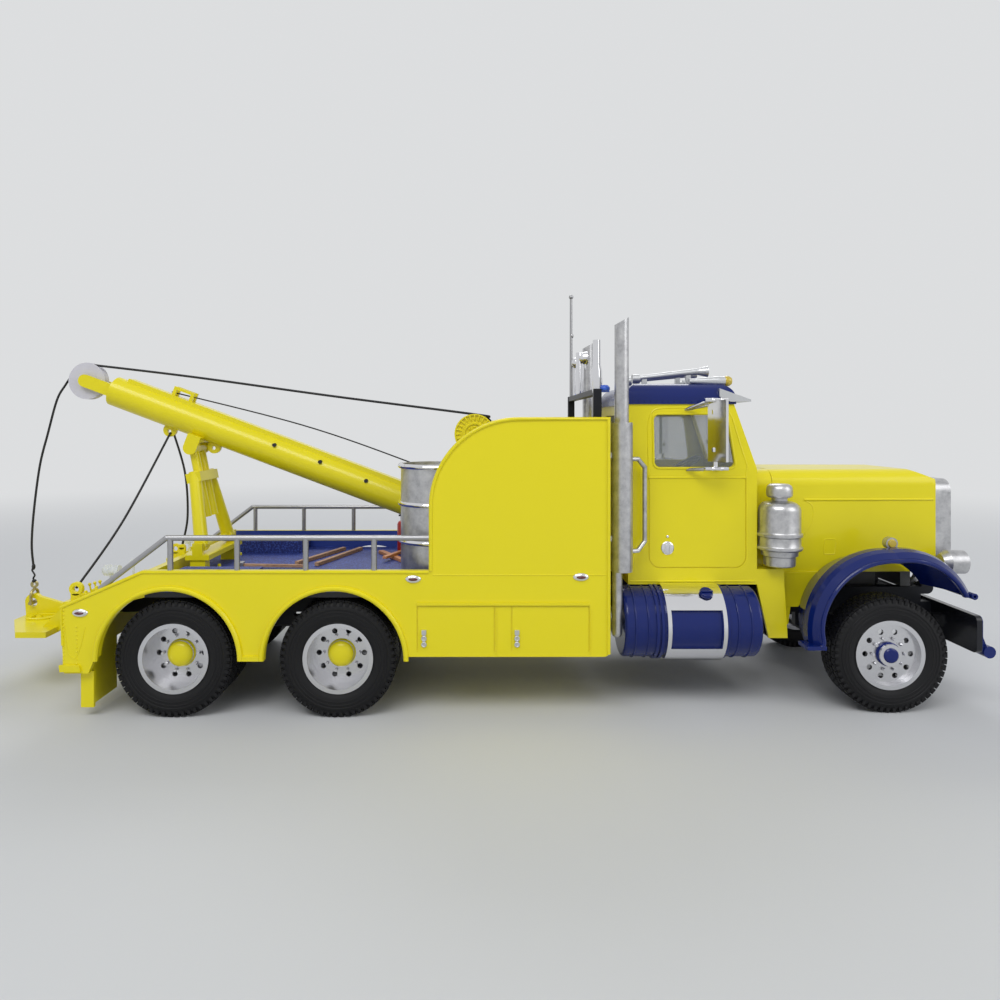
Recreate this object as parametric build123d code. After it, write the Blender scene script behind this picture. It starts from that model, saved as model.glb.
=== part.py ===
import math
import os

from build123d import *

# Plastic model of a heavy tow truck at 1:25, in millimetres.
# X runs forward, Y to the truck's left, Z up, and z = 0 is the floor.
# Stations along X are counted from the middle of the tall side panels' bay.

# Fits
running_fit = 0.05        # radial play of a pin in its bore
side_play = 0.3           # play beside a moving eye or hub
seat_gap = 0.1            # play round a pane in its frame
cut_reach = 60.0          # longer than any piece that a cut goes through

# Wheels and axles
tyre_radius = 21.0
tyre_width = 11.0
tyre_shoulder = 2.6
bead_radius = 11.9
bead_width = 9.0
rim_wall = 0.8
rim_flange = 0.6
flange_rise = 0.7
twin_gap = 1.4
front_axle_x = 149.0
middle_axle_x = -50.8
rear_axle_x = -109.6
front_wheel_y = 38.5
twin_outer_y = 48.0
spindle_radius = 1.8
axle_tube_radius = 3.0
disc_thickness = 1.2
front_disc_inset = 2.0
twin_dish_depth = 7.6
hand_hole_count = 10
hand_hole_radius = 1.0
hand_hole_circle = 8.3
front_hub_radius = 4.0
front_hub_reach = 0.2
rear_hub_radius = 4.8
rear_hub_height = 2.4

# Frame
rail_outer_y = 17.3
rail_thickness = 4.0
rail_bottom = 30.0
rail_height = 10.0
rail_front_x = 176.0
cross_member_length = 4.0
cross_member_height = 4.0
cross_member_inset = 2.0
cab_mount_length = 6.0

# Front axle
beam_width = 4.0
beam_height = 4.6
kingpin_y = 29.5
kingpin_radius = 0.9
kingpin_boss = 2.4
knuckle_wall = 1.5
steering_arm_length = 9.0
tie_rod_radius = 0.8
tie_pin_radius = 0.5
spring_width = 3.2
spring_thickness = 2.2
front_spring_length = 46.0
rear_spring_overhang = 3.0
saddle_length = 12.0
diff_radius = 6.5
nose_radius = 2.2
nose_length = 9.5
shaft_radius = 1.5

# Engine, gearbox and radiator
engine_length = 46.0
engine_width = 19.0
engine_height = 40.0
gearbox_radius = 3.8
gearbox_length = 29.0
radiator_thickness = 4.0
radiator_width = 32.0
radiator_height = 40.0
radiator_front_x = 172.5

# Cab
cab_rear_x = 56.3
cab_front_x = 105.3
cab_bottom = 44.0
cab_belt = 88.0
cab_eave = 112.6
cab_half_width = 31.0
eave_half_width = 29.0
windscreen_lean = 8.0
cab_wall = 1.6
roof_rise = 8.0
roof_radius = 6.0
roof_overhang = 0.6
side_window_rear_x = 66.5
side_window_front_x = 97.0
side_window_bottom = 88.6
side_window_top = 108.4
rear_window_half_width = 17.0
glass_thickness = 0.6
door_rear_x = 64.0
door_front_x = 100.8
door_bottom = 50.2
door_corner = 4.5
door_groove_drop = 2.0      # the groove stops this far below the belt
groove_width = 0.45
groove_depth = 0.4
cowl_half_width = 23.5
cowl_front_x = 114.0
cowl_top = 87.0
cowl_bottom = 47.0
centre_post_width = 1.8
seat_width = 17.0
seat_length = 16.0
seat_height = 12.0
seat_back_height = 22.0
seat_back_thickness = 4.0
seat_y = 14.5
dash_depth = 7.0
dash_height = 9.0
dash_bottom = 76.0
wheel_rim_radius = 6.6
wheel_rim_thickness = 0.7
steering_wheel_x = 91.5
steering_wheel_z = 87.6
steering_wheel_tilt = 28.0
visor_length = 12.8
visor_drop = 19.6
visor_seat = 6.0
visor_cheek_foot = 4.2
visor_cheek_rise = 2.0
visor_root_drop = 2.0
visor_thickness = 0.8
skirt_foot_z = 23.6
skirt_thickness = 1.2
skirt_foot_width = 7.2

# Hood and what tilts with it
hood_gap = 0.4
hood_front_x = 179.6
hood_rear_half_width = 23.0
hood_front_half_width = 21.0
hood_top = 87.0
hood_bottom = 47.0
hood_wall = 1.2
hood_corner = 6.0
hood_nose_start_x = 170.8
hood_nose_drop = 3.8
splash_outline = (           # side plate below the hood, X and Z
    (114.8, 47.6), (127.6, 47.6), (124.0, 41.0), (121.6, 34.0), (120.6, 26.6), (118.6, 26.6), (116.0, 36.0))
hood_pivot_x = 178.6
hood_pivot_z = 39.6
hood_pin_radius = 1.0
hood_lug_radius = 2.6
hood_lug_y = 9.0
hood_lug_width = 2.4
shell_depth = 6.0
shell_bottom = 45.0
shell_frame = 3.2
grille_bar_count = 15
grille_bar_width = 0.9
grille_depth = 1.2
fender_outer_y = 46.0
fender_thickness = 1.3
fender_lip = 3.0
fender_crown_radius = 4.5
fender_crown_drop = 2.6
fender_crown_y = 38.0
fender_inner_drop = 5.0
fender_foot_x = 120.2
fender_foot_z = 24.6
fender_tip_x = 178.6
fender_tip_z = 42.5
fender_rear_radius = 35.6
fender_top_radius = 38.0
headlight_radius = 4.5
headlight_length = 8.8
headlight_front_x = 185.8
headlight_y = 27.6
headlight_z = 51.9
fender_lamp_radius = 2.2
fender_lamp_depth = 2.8
fender_lamp_stem = 0.8
fender_lamp_x = 153.6
fender_lamp_y = 35.0
fender_lamp_height = 3.6

# Bumper and push bar
bumper_rear_x = 180.0
bumper_thickness = 2.2
bumper_half_length = 44.0
bumper_bottom = 21.7
bumper_height = 13.5
bumper_corner = 2.0
push_bar_radius = 2.2
push_bar_x = 185.4
push_bar_z = 21.9
push_bracket_width = 3.0

# Tanks, steps, stacks and air cleaners
tank_radius = 13.0
tank_length = 50.0
tank_rear_x = 52.6
tank_y = 32.0
tank_z = 30.6
step_rear_x = 67.7
step_length = 21.4
step_thickness = 1.3
step_opening_height = 14.0
step_opening_margin = 1.4
stack_y = 41.0
stack_x = 51.9
stack_pipe_radius = 2.6
stack_lower_radius = 1.9
stack_shield_radius = 4.0
stack_shield_bottom = 51.1
stack_shield_top = 105.5
stack_bottom = 28.6
stack_top = 144.6
stack_cut_rise = 4.2
handle_radius = 0.85
handle_corner = 3.2
handle_inset = 5.0
handle_reach = 9.6
handle_bottom = 58.0
handle_top = 92.0
cleaner_x = 113.6
cleaner_y = 31.6
cleaner_radius = 7.5
cleaner_bottom = 55.8
cleaner_top = 75.4
cleaner_cup_height = 4.6
cleaner_neck_height = 2.0
cleaner_neck_radius = 2.9
cleaner_cap_height = 5.0
cleaner_cap_radius = 4.6
mirror_width = 8.2
mirror_height = 22.8
mirror_thickness = 1.4
mirror_turn = -33.0
mirror_x = 87.8
mirror_y = 39.2
mirror_z = 102.4
mirror_arm_radius = 0.5
mirror_arm_drop = 2.2
horn_y = 8.0
horn_length = 31.0
horn_rear = 6.4
horn_tail_height = 3.0
horn_mouth_height = 6.0
horn_bell_radius = 1.9
horn_bell_length = 3.0
horn_mouth_radius = 2.3
horn_throat_radius = 1.4
horn_flare_length = 4.0
horn_tail_radius = 1.0
marker_lamp_radius = 1.3
marker_lamp_y = (-12.0, 0.0, 12.0)
corner_lamp_y = 24.0
corner_lamp_seat = 1.4
corner_lamp_length = 14.0
corner_lamp_radius = 1.9

# Wrecker body
side_outer_y = 49.5
side_thickness = 2.0
side_front_x = 46.3
side_bottom = 22.4
side_top = 53.0
tall_rear_x = -18.2
tall_top = 107.4
tall_corner = 31.9
slope_start_x = -119.9
tail_x = -149.1
tail_top = 40.5
tail_bottom = 16.5
tail_foot_length = 8.6
arch_radius = 24.8
arch_shift = 1.0            # arches stand this far behind their axles
arch_lip = 1.7
arch_lip_reach = 0.8
arch_foot_drop = 1.4
deck_bottom = 43.0
tub_x = (-112.6, -82.8)     # boxes over the rear wheels
tub_inner_y = 30.0
tub_height = 5.6
deck_thickness = 2.0
locker_inner_y = 19.0
locker_rear_x = -24.0
bulkhead_thickness = 2.0
rail_post_x = (-110.2, -86.4, -62.0, -37.7)
guard_rail_y = 48.5
guard_rail_radius = 1.0
guard_rail_z = 64.4
guard_rail_foot_x = -134.2
locker_bead_z = 40.4
locker_seam_x = (-22.4, 4.9, 11.0, 38.4)
cross_beam_x = -123.0
cross_beam_width = 4.0
cross_beam_height = 5.0
tail_panel_thickness = 2.0
tail_cover_drop = 2.0
mud_flap_x = -141.0
mud_flap_thickness = 1.0
mud_flap_bottom = 3.6
mud_flap_width = 20.0
mud_flap_edge = (-1.8, 2.8)    # its outer flange, behind and ahead of the flap
mud_flap_edge_thickness = 1.2

# Deck load: drum, extinguisher and hand tools
drum_radius = 14.2
drum_height = 45.0
drum_x = -15.9
drum_y = 30.0
drum_hoop_rise = 0.6
drum_hoop_height = 1.6
drum_hoop_share = (0.0, 0.36, 0.68, 1.0)
bottle_radius = 2.4
bottle_height = 18.0
bottle_x = -36.0
bottle_y = 30.0

# Boom, mast and winch
heel_x = 10.0
heel_z = 57.0
heel_pin_radius = 2.0
heel_eye_radius = 5.0
boom_angle = 20.65
boom_radius = 6.2
fork_reach = 11.8
boom_strip_width = 6.0
boom_strip_rise = 1.1
sheave_distance = 187.6
sheave_radius = 7.7
sheave_width = 3.4
sheave_groove = 1.2
sheave_pin_radius = 1.1
fork_thickness = 1.8
fork_height = 5.2
boom_lug_thickness = 1.4
boom_lug_radius = 2.8
boom_lug_stations = (128.0, 148.0)
handle_station = 143.0
handle_length = 9.0
handle_bar = 1.4
mast_station = 135.0
mast_eye_radius = 2.3
mast_eye_play = 0.9
mast_pin_radius = 0.6
mast_base_x = -112.0
mast_base_z = 56.0
mast_base_half_width = 17.0
mast_base_length = 9.4
mast_base_plate = 2.0
mast_leg_radius = 2.8
mast_leg_top_y = 7.4
mast_leg_share = 0.74
mast_rod_radius = 1.9
mast_rod_y = 3.6
mast_head_height = 4.0
mast_rod_foot = 10.5
mast_eye_drop = 1.6
mast_pivot_radius = 2.4
mast_pin_half = 1.2
winch_x = -2.1
winch_z = 101.1
winch_flange_radius = 7.8
winch_core_radius = 3.6
winch_shaft_radius = 2.0
winch_flange_thickness = 1.2
winch_outer_y = 25.8
frame_plate_thickness = 2.0
frame_plate_rise = 5.3
frame_foot_length = 20.0

# Tow bar and tail bracket
tow_hinge_x = -164.0
tow_hinge_z = 31.0
tow_hinge_radius = 2.4
tow_pin_radius = 1.0
tow_ear_y = 15.0
tow_ear_width = 2.4
tow_plate_bottom = 22.4
tow_plate_thickness = 2.2
tow_plate_rear_x = -191.4
tow_plate_half_width = 27.0
tow_plate_front_x = -167.6
tow_lug_x = -188.6
tow_lug_top = 33.4
tow_lug_thickness = 2.0
tow_lug_hole_radius = 1.8

# Lamp rack behind the cab
rack_x = 43.4
rack_post_y = 38.0
rack_post_radius = 1.3
rack_beam_rise = 9.6
pole_rise = 49.6
pole_radius = 0.6
pole_ball_radius = 1.1
spot_lamp_rise = 17.0
spot_lamp_radius = 3.0
spot_lamp_depth = 3.4
beacon_radius = 1.5
beacon_rise = 19.0


# ---------- shapes ----------
def block(x, y, z):
    """A box between two corners, each axis as (low, high)."""
    middle = [(a + b) / 2 for a, b in (x, y, z)]
    return Pos(*middle) * Box(x[1] - x[0], y[1] - y[0], z[1] - z[0])


def rod(start, end, radius, end_radius=None):
    """A round bar, or a cone, from one point to another."""
    line = Vector(*end) - Vector(*start)
    place = Plane(origin=start, z_dir=line).location
    low = (Align.CENTER, Align.CENTER, Align.MIN)
    if end_radius is None:
        return place * Cylinder(radius, line.length, align=low)
    return place * Cone(radius, end_radius, line.length, align=low)


def across(x, z, y, radius):
    """A round bar along Y between y = (low, high)."""
    return rod((x, y[0], z), (x, y[1], z), radius)


def slab(points, y):
    """A flat outline of (x, z) points, as thick as y = (low, high)."""
    outline = Polyline([(px, y[0], pz) for px, pz in points], close=True)
    return extrude(make_face(outline), y[1] - y[0], dir=(0, 1, 0))


def plan(points, z):
    """A plan outline of (x, y) points, as thick as z = (low, high)."""
    outline = Polyline([(px, py, z[0]) for px, py in points], close=True)
    return extrude(make_face(outline), z[1] - z[0], dir=(0, 0, 1))


def section(points, x):
    """A cross-section of (y, z) points, as long as x = (low, high)."""
    outline = Polyline([(x[0], py, pz) for py, pz in points], close=True)
    return extrude(make_face(outline), x[1] - x[0], dir=(1, 0, 0))


def mirrored(shape):
    return mirror(shape, about=Plane.XZ)


def pair(shape):
    return shape + mirrored(shape)


def turned(profile):
    """A solid of revolution about Y from (radius, y) points."""
    face = make_face(Polyline([(r, y, 0) for r, y in profile], close=True))
    return revolve(face, axis=Axis.Y, revolution_arc=360)


# ---------- places that several pieces share ----------
axle_z = tyre_radius
rail_inner_y = rail_outer_y - rail_thickness
rail_middle_y = (rail_outer_y + rail_inner_y) / 2
rail_top = rail_bottom + rail_height
twin_middle_y = twin_outer_y - tyre_width - twin_gap / 2
twin_offset = (tyre_width + twin_gap) / 2
side_inner_y = side_outer_y - side_thickness
deck_top = deck_bottom + deck_thickness
boom_length = sheave_distance - fork_reach
frame_plate_top = winch_z + frame_plate_rise
rack_beam_z = tall_top + rack_beam_rise
pole_top = rack_beam_z + pole_rise
spot_lamp_z = rack_beam_z + spot_lamp_rise
beacon_top = rack_beam_z + beacon_rise
deck_front_x = side_front_x - bulkhead_thickness
shell_front_x = hood_front_x + shell_depth
shell_top = hood_top - hood_nose_drop
tail_front_x = tail_x + tail_panel_thickness
rear_arch_x = rear_axle_x - arch_shift
middle_arch_x = middle_axle_x - arch_shift
tail_cover_z = tail_top - tail_cover_drop
tilt = math.radians(boom_angle)


def on_boom(station, rise=0.0, y=0.0):
    """A point this far from the heel along the boom and above its middle."""
    x = heel_x - station * math.cos(tilt) + rise * math.sin(tilt)
    z = heel_z + station * math.sin(tilt) + rise * math.cos(tilt)
    return (x, y, z)


mast_drop = boom_radius + mast_eye_radius + mast_eye_drop
mast_eye = on_boom(mast_station, -mast_drop)
mast_lean = math.atan2(mast_base_x - mast_eye[0], mast_eye[2] - mast_base_z)
mast_length = math.hypot(mast_base_x - mast_eye[0], mast_eye[2] - mast_base_z)
sheave_centre = on_boom(sheave_distance)


def on_mast(distance, y=0.0):
    """A point this far up the mast from its base pin."""
    x = mast_base_x - distance * math.sin(mast_lean)
    z = mast_base_z + distance * math.cos(mast_lean)
    return (x, y, z)


# ---------- wheels ----------
def tyre_ring(y):
    half = tyre_width / 2
    bead = bead_width / 2
    profile = [
        (bead_radius, y - bead), (bead_radius, y + bead), (bead_radius + flange_rise, y + bead),
        (bead_radius + 2.4, y + half), (tyre_radius - tyre_shoulder, y + half),
        (tyre_radius, y + half - tyre_shoulder / 2), (tyre_radius, y - half + tyre_shoulder / 2),
        (tyre_radius - tyre_shoulder, y - half), (bead_radius + 2.4, y - half),
        (bead_radius + flange_rise, y - bead),
    ]
    return turned(profile)


def rim_ring(y):
    bead = bead_width / 2
    edge = bead + rim_flange
    profile = [
        (bead_radius - rim_wall, y - edge), (bead_radius + flange_rise, y - edge),
        (bead_radius + flange_rise, y - bead), (bead_radius, y - bead),
        (bead_radius, y + bead), (bead_radius + flange_rise, y + bead),
        (bead_radius + flange_rise, y + edge), (bead_radius - rim_wall, y + edge),
    ]
    return turned(profile)


def wheel_disc(y):
    """A disc with its ring of hand holes, its inner face at y."""
    disc = turned([(0, y), (bead_radius - rim_wall / 2, y),
                   (bead_radius - rim_wall / 2, y + disc_thickness), (0, y + disc_thickness)])
    for turn in range(hand_hole_count):
        angle = 2 * math.pi * turn / hand_hole_count
        hole_x = hand_hole_circle * math.cos(angle)
        hole_z = hand_hole_circle * math.sin(angle)
        disc -= across(hole_x, hole_z, (y - 1, y + disc_thickness + 1), hand_hole_radius)
    return disc


def bearing_bore(shape, y):
    return shape - across(0, 0, y, spindle_radius + running_fit)


def front_wheel():
    """Left front wheel about its own centre, outer side towards +Y."""
    edge = bead_width / 2 + rim_flange
    disc_y = edge - front_disc_inset - disc_thickness
    wheel = rim_ring(0) + wheel_disc(disc_y)
    wheel += across(0, 0, (front_wheel_inner, disc_y + 1), spindle_radius + 1.6)
    wheel += across(0, 0, (disc_y, edge + front_hub_reach), front_hub_radius)
    return bearing_bore(wheel, (front_wheel_inner - 1, spindle_tip + side_play))


def twin_wheel():
    """Left rear pair of wheels about their middle, outer side towards +Y."""
    edge = twin_offset + bead_width / 2 + rim_flange
    disc_y = edge - twin_dish_depth
    wheel = rim_ring(twin_offset) + rim_ring(-twin_offset)
    wheel += wheel_disc(disc_y - disc_thickness)
    wheel += wheel_disc(-disc_y)
    wheel += across(0, 0, (-disc_y, disc_y), spindle_radius + 3.4)
    wheel += across(0, 0, (twin_wheel_inner, 0), spindle_radius + 1.8)
    wheel += across(0, 0, (disc_y - 1, disc_y + rear_hub_height - 1), rear_hub_radius)
    wheel += rod((0, disc_y + rear_hub_height - 1, 0), (0, disc_y + rear_hub_height, 0),
                 rear_hub_radius, rear_hub_radius - 1)
    return bearing_bore(wheel, (twin_wheel_inner - 1, spindle_tip + side_play))


front_wheel_inner = -4.4
twin_wheel_inner = -8.0
spindle_tip = 2.2

# name, axle station, middle of the wheel in Y, True for a pair
wheel_places = [
    ("front", front_axle_x, front_wheel_y, False),
    ("middle", middle_axle_x, twin_middle_y, True),
    ("rear", rear_axle_x, twin_middle_y, True),
]


def wheels():
    parts = {}
    for name, x, y, twin in wheel_places:
        tyres = tyre_ring(twin_offset) + tyre_ring(-twin_offset) if twin else tyre_ring(0)
        wheel = twin_wheel() if twin else front_wheel()
        parts[f"tyre_{name}_left"] = Pos(x, y, axle_z) * tyres
        parts[f"wheel_{name}_left"] = Pos(x, y, axle_z) * wheel
        parts[f"tyre_{name}_right"] = mirrored(parts[f"tyre_{name}_left"])
        parts[f"wheel_{name}_right"] = mirrored(parts[f"wheel_{name}_left"])
    return parts


# ---------- frame and running gear ----------
cross_member_x = (-138.0, -123.0, -80.0, -20.0, 22.0, 118.0, 152.0, 171.0)
member_bottom = rail_bottom + cross_member_inset
member_top = member_bottom + cross_member_height
cab_mount_x = (62.0, 98.0)
tank_bracket_x = (59.0, 96.0)


def frame_rails():
    rail = block((tail_front_x, rail_front_x), (rail_inner_y, rail_outer_y), (rail_bottom, rail_top))
    rail += block((tail_front_x, deck_front_x), (rail_inner_y, rail_outer_y), (rail_top, deck_bottom))
    rail -= slab([(slope_start_x, deck_bottom), (tail_front_x, tail_cover_z - deck_thickness),
                  (tail_front_x, side_top), (slope_start_x, side_top)], (0, rail_outer_y + 1))
    for x in cab_mount_x:
        rail += block((x, x + cab_mount_length), (rail_inner_y, rail_outer_y), (rail_top, cab_bottom))
    tank = rod((tank_rear_x, tank_y, tank_z), (tank_rear_x + tank_length, tank_y, tank_z), tank_radius)
    for x in tank_bracket_x:
        bracket = block((x, x + 3), (rail_outer_y, tank_y - 4), (tank_z - tank_radius - 1, rail_top - 2))
        rail += bracket - tank
    front = block((rail_front_x - 4, hood_pivot_x), (rail_inner_y, rail_outer_y),
                  (hood_pivot_z - 2.4, rail_top))
    rail += front + across(hood_pivot_x, hood_pivot_z, (rail_inner_y, rail_outer_y), 2.4)
    frame = pair(rail)
    for x in cross_member_x:
        frame += block((x, x + cross_member_length), (-rail_inner_y, rail_inner_y),
                       (member_bottom, member_top))
    frame += across(hood_pivot_x, hood_pivot_z, (-rail_inner_y, rail_inner_y), hood_pin_radius)
    for side in (-1, 1):
        bracket = block((rail_front_x, bumper_rear_x), sorted((side * rail_inner_y, side * rail_outer_y)),
                        (rail_bottom, bumper_bottom + bumper_height - 1))
        frame += bracket
    return frame


beam_top = axle_z + beam_height / 2
beam_bottom = axle_z - beam_height / 2
spring_seat = axle_z + axle_tube_radius + 0.8


def front_axle():
    x = front_axle_x
    beam = block((x - beam_width / 2, x + beam_width / 2), (-kingpin_y, kingpin_y), (beam_bottom, beam_top))
    for side in (-1, 1):
        beam += rod((x, side * kingpin_y, beam_bottom), (x, side * kingpin_y, beam_top), kingpin_boss)
        beam += block((x - 3, x + 3), (side * rail_middle_y - 1.6, side * rail_middle_y + 1.6),
                      (beam_top - 1, spring_seat))
    for side in (-1, 1):
        beam -= rod((x, side * kingpin_y, beam_bottom - 1), (x, side * kingpin_y, beam_top + 1),
                    kingpin_radius + running_fit)
    return beam


def front_springs():
    half = front_spring_length / 2
    y = (rail_middle_y - spring_width / 2, rail_middle_y + spring_width / 2)
    spring = block((front_axle_x - half, front_axle_x + half), y, (spring_seat, spring_seat + spring_thickness))
    spring += block((front_axle_x - half * 0.55, front_axle_x + half * 0.55), y,
                    (spring_seat + spring_thickness, spring_seat + spring_thickness + 1))
    for end in (-1, 1):
        x = front_axle_x + end * (half - 1.5)
        spring += block((x - 1.5, x + 1.5), y, (spring_seat + spring_thickness, rail_bottom))
    return pair(spring)


knuckle_top = beam_top + side_play / 2 + knuckle_wall
knuckle_bottom = beam_bottom - side_play / 2 - knuckle_wall
knuckle_face_y = front_wheel_y + front_wheel_inner - side_play
tie_rod_z = knuckle_bottom - side_play / 2 - tie_rod_radius
tie_rod_x = front_axle_x - steering_arm_length
tie_rod_y = kingpin_y


def knuckle():
    """Left knuckle: fork, kingpin, spindle and steering arm."""
    x = front_axle_x
    wall = (knuckle_face_y - knuckle_wall, knuckle_face_y)
    body = block((x - kingpin_boss, x + kingpin_boss), wall, (knuckle_bottom, knuckle_top))
    for low in (knuckle_bottom, knuckle_top - knuckle_wall):
        body += rod((x, kingpin_y, low), (x, kingpin_y, low + knuckle_wall), kingpin_boss)
        body += block((x - kingpin_boss, x + kingpin_boss), (kingpin_y, wall[1]), (low, low + knuckle_wall))
    body += rod((x, kingpin_y, knuckle_bottom), (x, kingpin_y, knuckle_top), kingpin_radius)
    body += across(x, axle_z, (wall[0], front_wheel_y + spindle_tip), spindle_radius)
    arm = [(x, kingpin_y - 1.6), (x, kingpin_y + 1.6), (tie_rod_x - 1.5, tie_rod_y + 1.5),
           (tie_rod_x - 1.5, tie_rod_y - 1.5)]
    body += plan(arm, (knuckle_bottom, knuckle_bottom + knuckle_wall))
    return body - rod((tie_rod_x, tie_rod_y, knuckle_bottom - 1),
                      (tie_rod_x, tie_rod_y, knuckle_top), tie_pin_radius + running_fit)


def tie_rod():
    bar = across(tie_rod_x, tie_rod_z, (-tie_rod_y, tie_rod_y), tie_rod_radius)
    for side in (-1, 1):
        y = side * tie_rod_y
        bar += rod((tie_rod_x, y, tie_rod_z - 1), (tie_rod_x, y, tie_rod_z + tie_rod_radius), 1.3)
        bar += rod((tie_rod_x, y, tie_rod_z), (tie_rod_x, y, knuckle_bottom + knuckle_wall), tie_pin_radius)
    return bar


def rear_axles():
    axles = None
    for x in (middle_axle_x, rear_axle_x):
        inner = twin_middle_y + twin_wheel_inner - side_play
        axle = across(x, axle_z, (-inner, inner), axle_tube_radius)
        tip = twin_middle_y + spindle_tip
        axle += across(x, axle_z, (-tip, tip), spindle_radius)
        axle += Pos(x, 0, axle_z) * Sphere(diff_radius)
        axle += rod((x, 0, axle_z), (x + nose_length, 0, axle_z), nose_radius)
        if x == middle_axle_x:
            axle += rod((x, 0, axle_z), (x - nose_length, 0, axle_z), nose_radius)
        for side in (-1, 1):
            y = side * rail_middle_y
            axle += block((x - 3, x + 3), (y - 1.6, y + 1.6), (axle_z, spring_seat))
        axles = axle if axles is None else axles + axle
    return axles


def rear_springs():
    y = (rail_middle_y - spring_width / 2, rail_middle_y + spring_width / 2)
    low = rear_axle_x - rear_spring_overhang
    high = middle_axle_x + rear_spring_overhang
    spring = block((low, high), y, (spring_seat, spring_seat + spring_thickness))
    middle = (low + high) / 2
    spring += block((middle - saddle_length / 2, middle + saddle_length / 2), y,
                    (spring_seat + spring_thickness, rail_bottom))
    spring += block((middle - saddle_length, middle + saddle_length), y,
                    (spring_seat + spring_thickness, spring_seat + spring_thickness + 1.4))
    return pair(spring)


engine_rear_x = 116.0
shaft_rear_x = middle_axle_x + nose_length


def driveline():
    """Engine block, gearbox and propeller shafts."""
    half = engine_width / 2
    engine = block((engine_rear_x, engine_rear_x + engine_length), (-half, half),
                   (member_top, member_top + engine_height))
    z = member_top + gearbox_radius
    front = engine_rear_x - gearbox_length
    engine += rod((front, 0, z), (engine_rear_x + 1, 0, z), gearbox_radius)
    engine += rod((shaft_rear_x + 3, 0, axle_z + 0.3), (front + 2, 0, z - 2.0), shaft_radius)
    engine += rod((shaft_rear_x, 0, axle_z), (shaft_rear_x + 4, 0, axle_z), nose_radius)
    link = rod((rear_axle_x + nose_length, 0, axle_z), (middle_axle_x - nose_length, 0, axle_z), shaft_radius)
    return engine + link


def radiator():
    half = radiator_width / 2
    return block((radiator_front_x - radiator_thickness, radiator_front_x), (-half, half),
                 (rail_top, rail_top + radiator_height))


# ---------- cab ----------
def lean_y(z):
    """Outer half width of the cab at a height."""
    share = (z - cab_belt) / (cab_eave - cab_belt)
    return cab_half_width - (cab_half_width - eave_half_width) * share


def screen_x(z):
    """Front of the cab at a height above the belt."""
    share = (z - cab_belt) / (cab_eave - cab_belt)
    return cab_front_x - windscreen_lean * share


def cab_side():
    outer = [(cab_half_width, cab_bottom), (cab_half_width, cab_belt), (eave_half_width, cab_eave)]
    inner = [(y - cab_wall, z) for y, z in reversed(outer)]
    wall = section(outer + inner, (cab_rear_x, cab_front_x))
    reach = (0, cab_half_width + 5)
    wall -= slab([(screen_x(cab_belt), cab_belt), (screen_x(cab_eave), cab_eave),
                  (screen_x(cab_eave), cab_eave + 5), (cab_front_x + 5, cab_eave + 5),
                  (cab_front_x + 5, cab_belt)], reach)
    top_front = side_window_front_x - windscreen_lean * 0.36
    window = slab([(side_window_rear_x, side_window_bottom), (side_window_front_x, side_window_bottom),
                   (top_front, side_window_top), (side_window_rear_x, side_window_top)], reach)
    wall -= fillet(window.edges().filter_by(Axis.Y), 2.0)
    skin = (cab_half_width - groove_depth, cab_half_width + 1)
    door = block((door_rear_x, door_front_x + groove_width), skin, (door_bottom, cab_belt - door_groove_drop))
    door = fillet(door.edges().filter_by(Axis.Y).group_by(Axis.Z)[0], door_corner)
    inside = block((door_rear_x + groove_width, door_front_x), skin, (door_bottom + groove_width, cab_belt))
    inside = fillet(inside.edges().filter_by(Axis.Y).group_by(Axis.Z)[0], door_corner - groove_width)
    return wall - (door - inside)


def cab_back():
    outer = [(-lean_y(cab_belt), cab_bottom), (lean_y(cab_belt), cab_bottom), (lean_y(cab_belt), cab_belt),
             (eave_half_width, cab_eave), (-eave_half_width, cab_eave), (-lean_y(cab_belt), cab_belt)]
    inside = [(y - math.copysign(cab_wall, y), z) for y, z in outer]
    wall = section(inside, (cab_rear_x, cab_rear_x + cab_wall))
    window = block((cab_rear_x - 1, cab_rear_x + cab_wall + 1),
                   (-rear_window_half_width, rear_window_half_width), (cab_belt + 3, cab_eave - 4))
    return wall - fillet(window.edges().filter_by(Axis.X), 2.0)


def cab_front():
    """Firewall, cowl and windscreen frame in one panel."""
    half = cab_half_width - cab_wall
    front = block((cab_front_x - cab_wall, cab_front_x), (-half, half), (cab_bottom, cab_belt))
    cowl = block((cab_front_x, cowl_front_x), (-cowl_half_width, cowl_half_width), (cowl_bottom, cowl_top))
    front += fillet(cowl.edges().filter_by(Axis.X).group_by(Axis.Z)[-1], hood_corner)
    lean = [(screen_x(cab_belt) - cab_wall, cab_belt), (screen_x(cab_belt), cab_belt),
            (screen_x(cab_eave), cab_eave), (screen_x(cab_eave) - cab_wall, cab_eave)]
    frame = slab(lean, (-half, half))
    keep = [(-half, cab_belt), (half, cab_belt), (eave_half_width - cab_wall, cab_eave),
            (-eave_half_width + cab_wall, cab_eave)]
    frame &= section(keep, (cab_rear_x, cowl_front_x))
    for side in (-1, 1):
        edges = sorted((side * centre_post_width / 2, side * (eave_half_width - cab_wall - 1.4)))
        frame -= block((cab_rear_x, cowl_front_x), edges, (cab_belt + 1.2, cab_eave - 2.0))
    return front + frame


def roof_cap():
    """The roof's outer form, filled in."""
    rear = cab_rear_x - roof_overhang
    front = screen_x(cab_eave) + roof_overhang
    half = eave_half_width + roof_overhang
    cap = block((rear, front), (-half, half), (cab_eave, cab_eave + roof_rise))
    return fillet(cap.faces().sort_by(Axis.Z)[-1].edges(), roof_radius)


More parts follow.
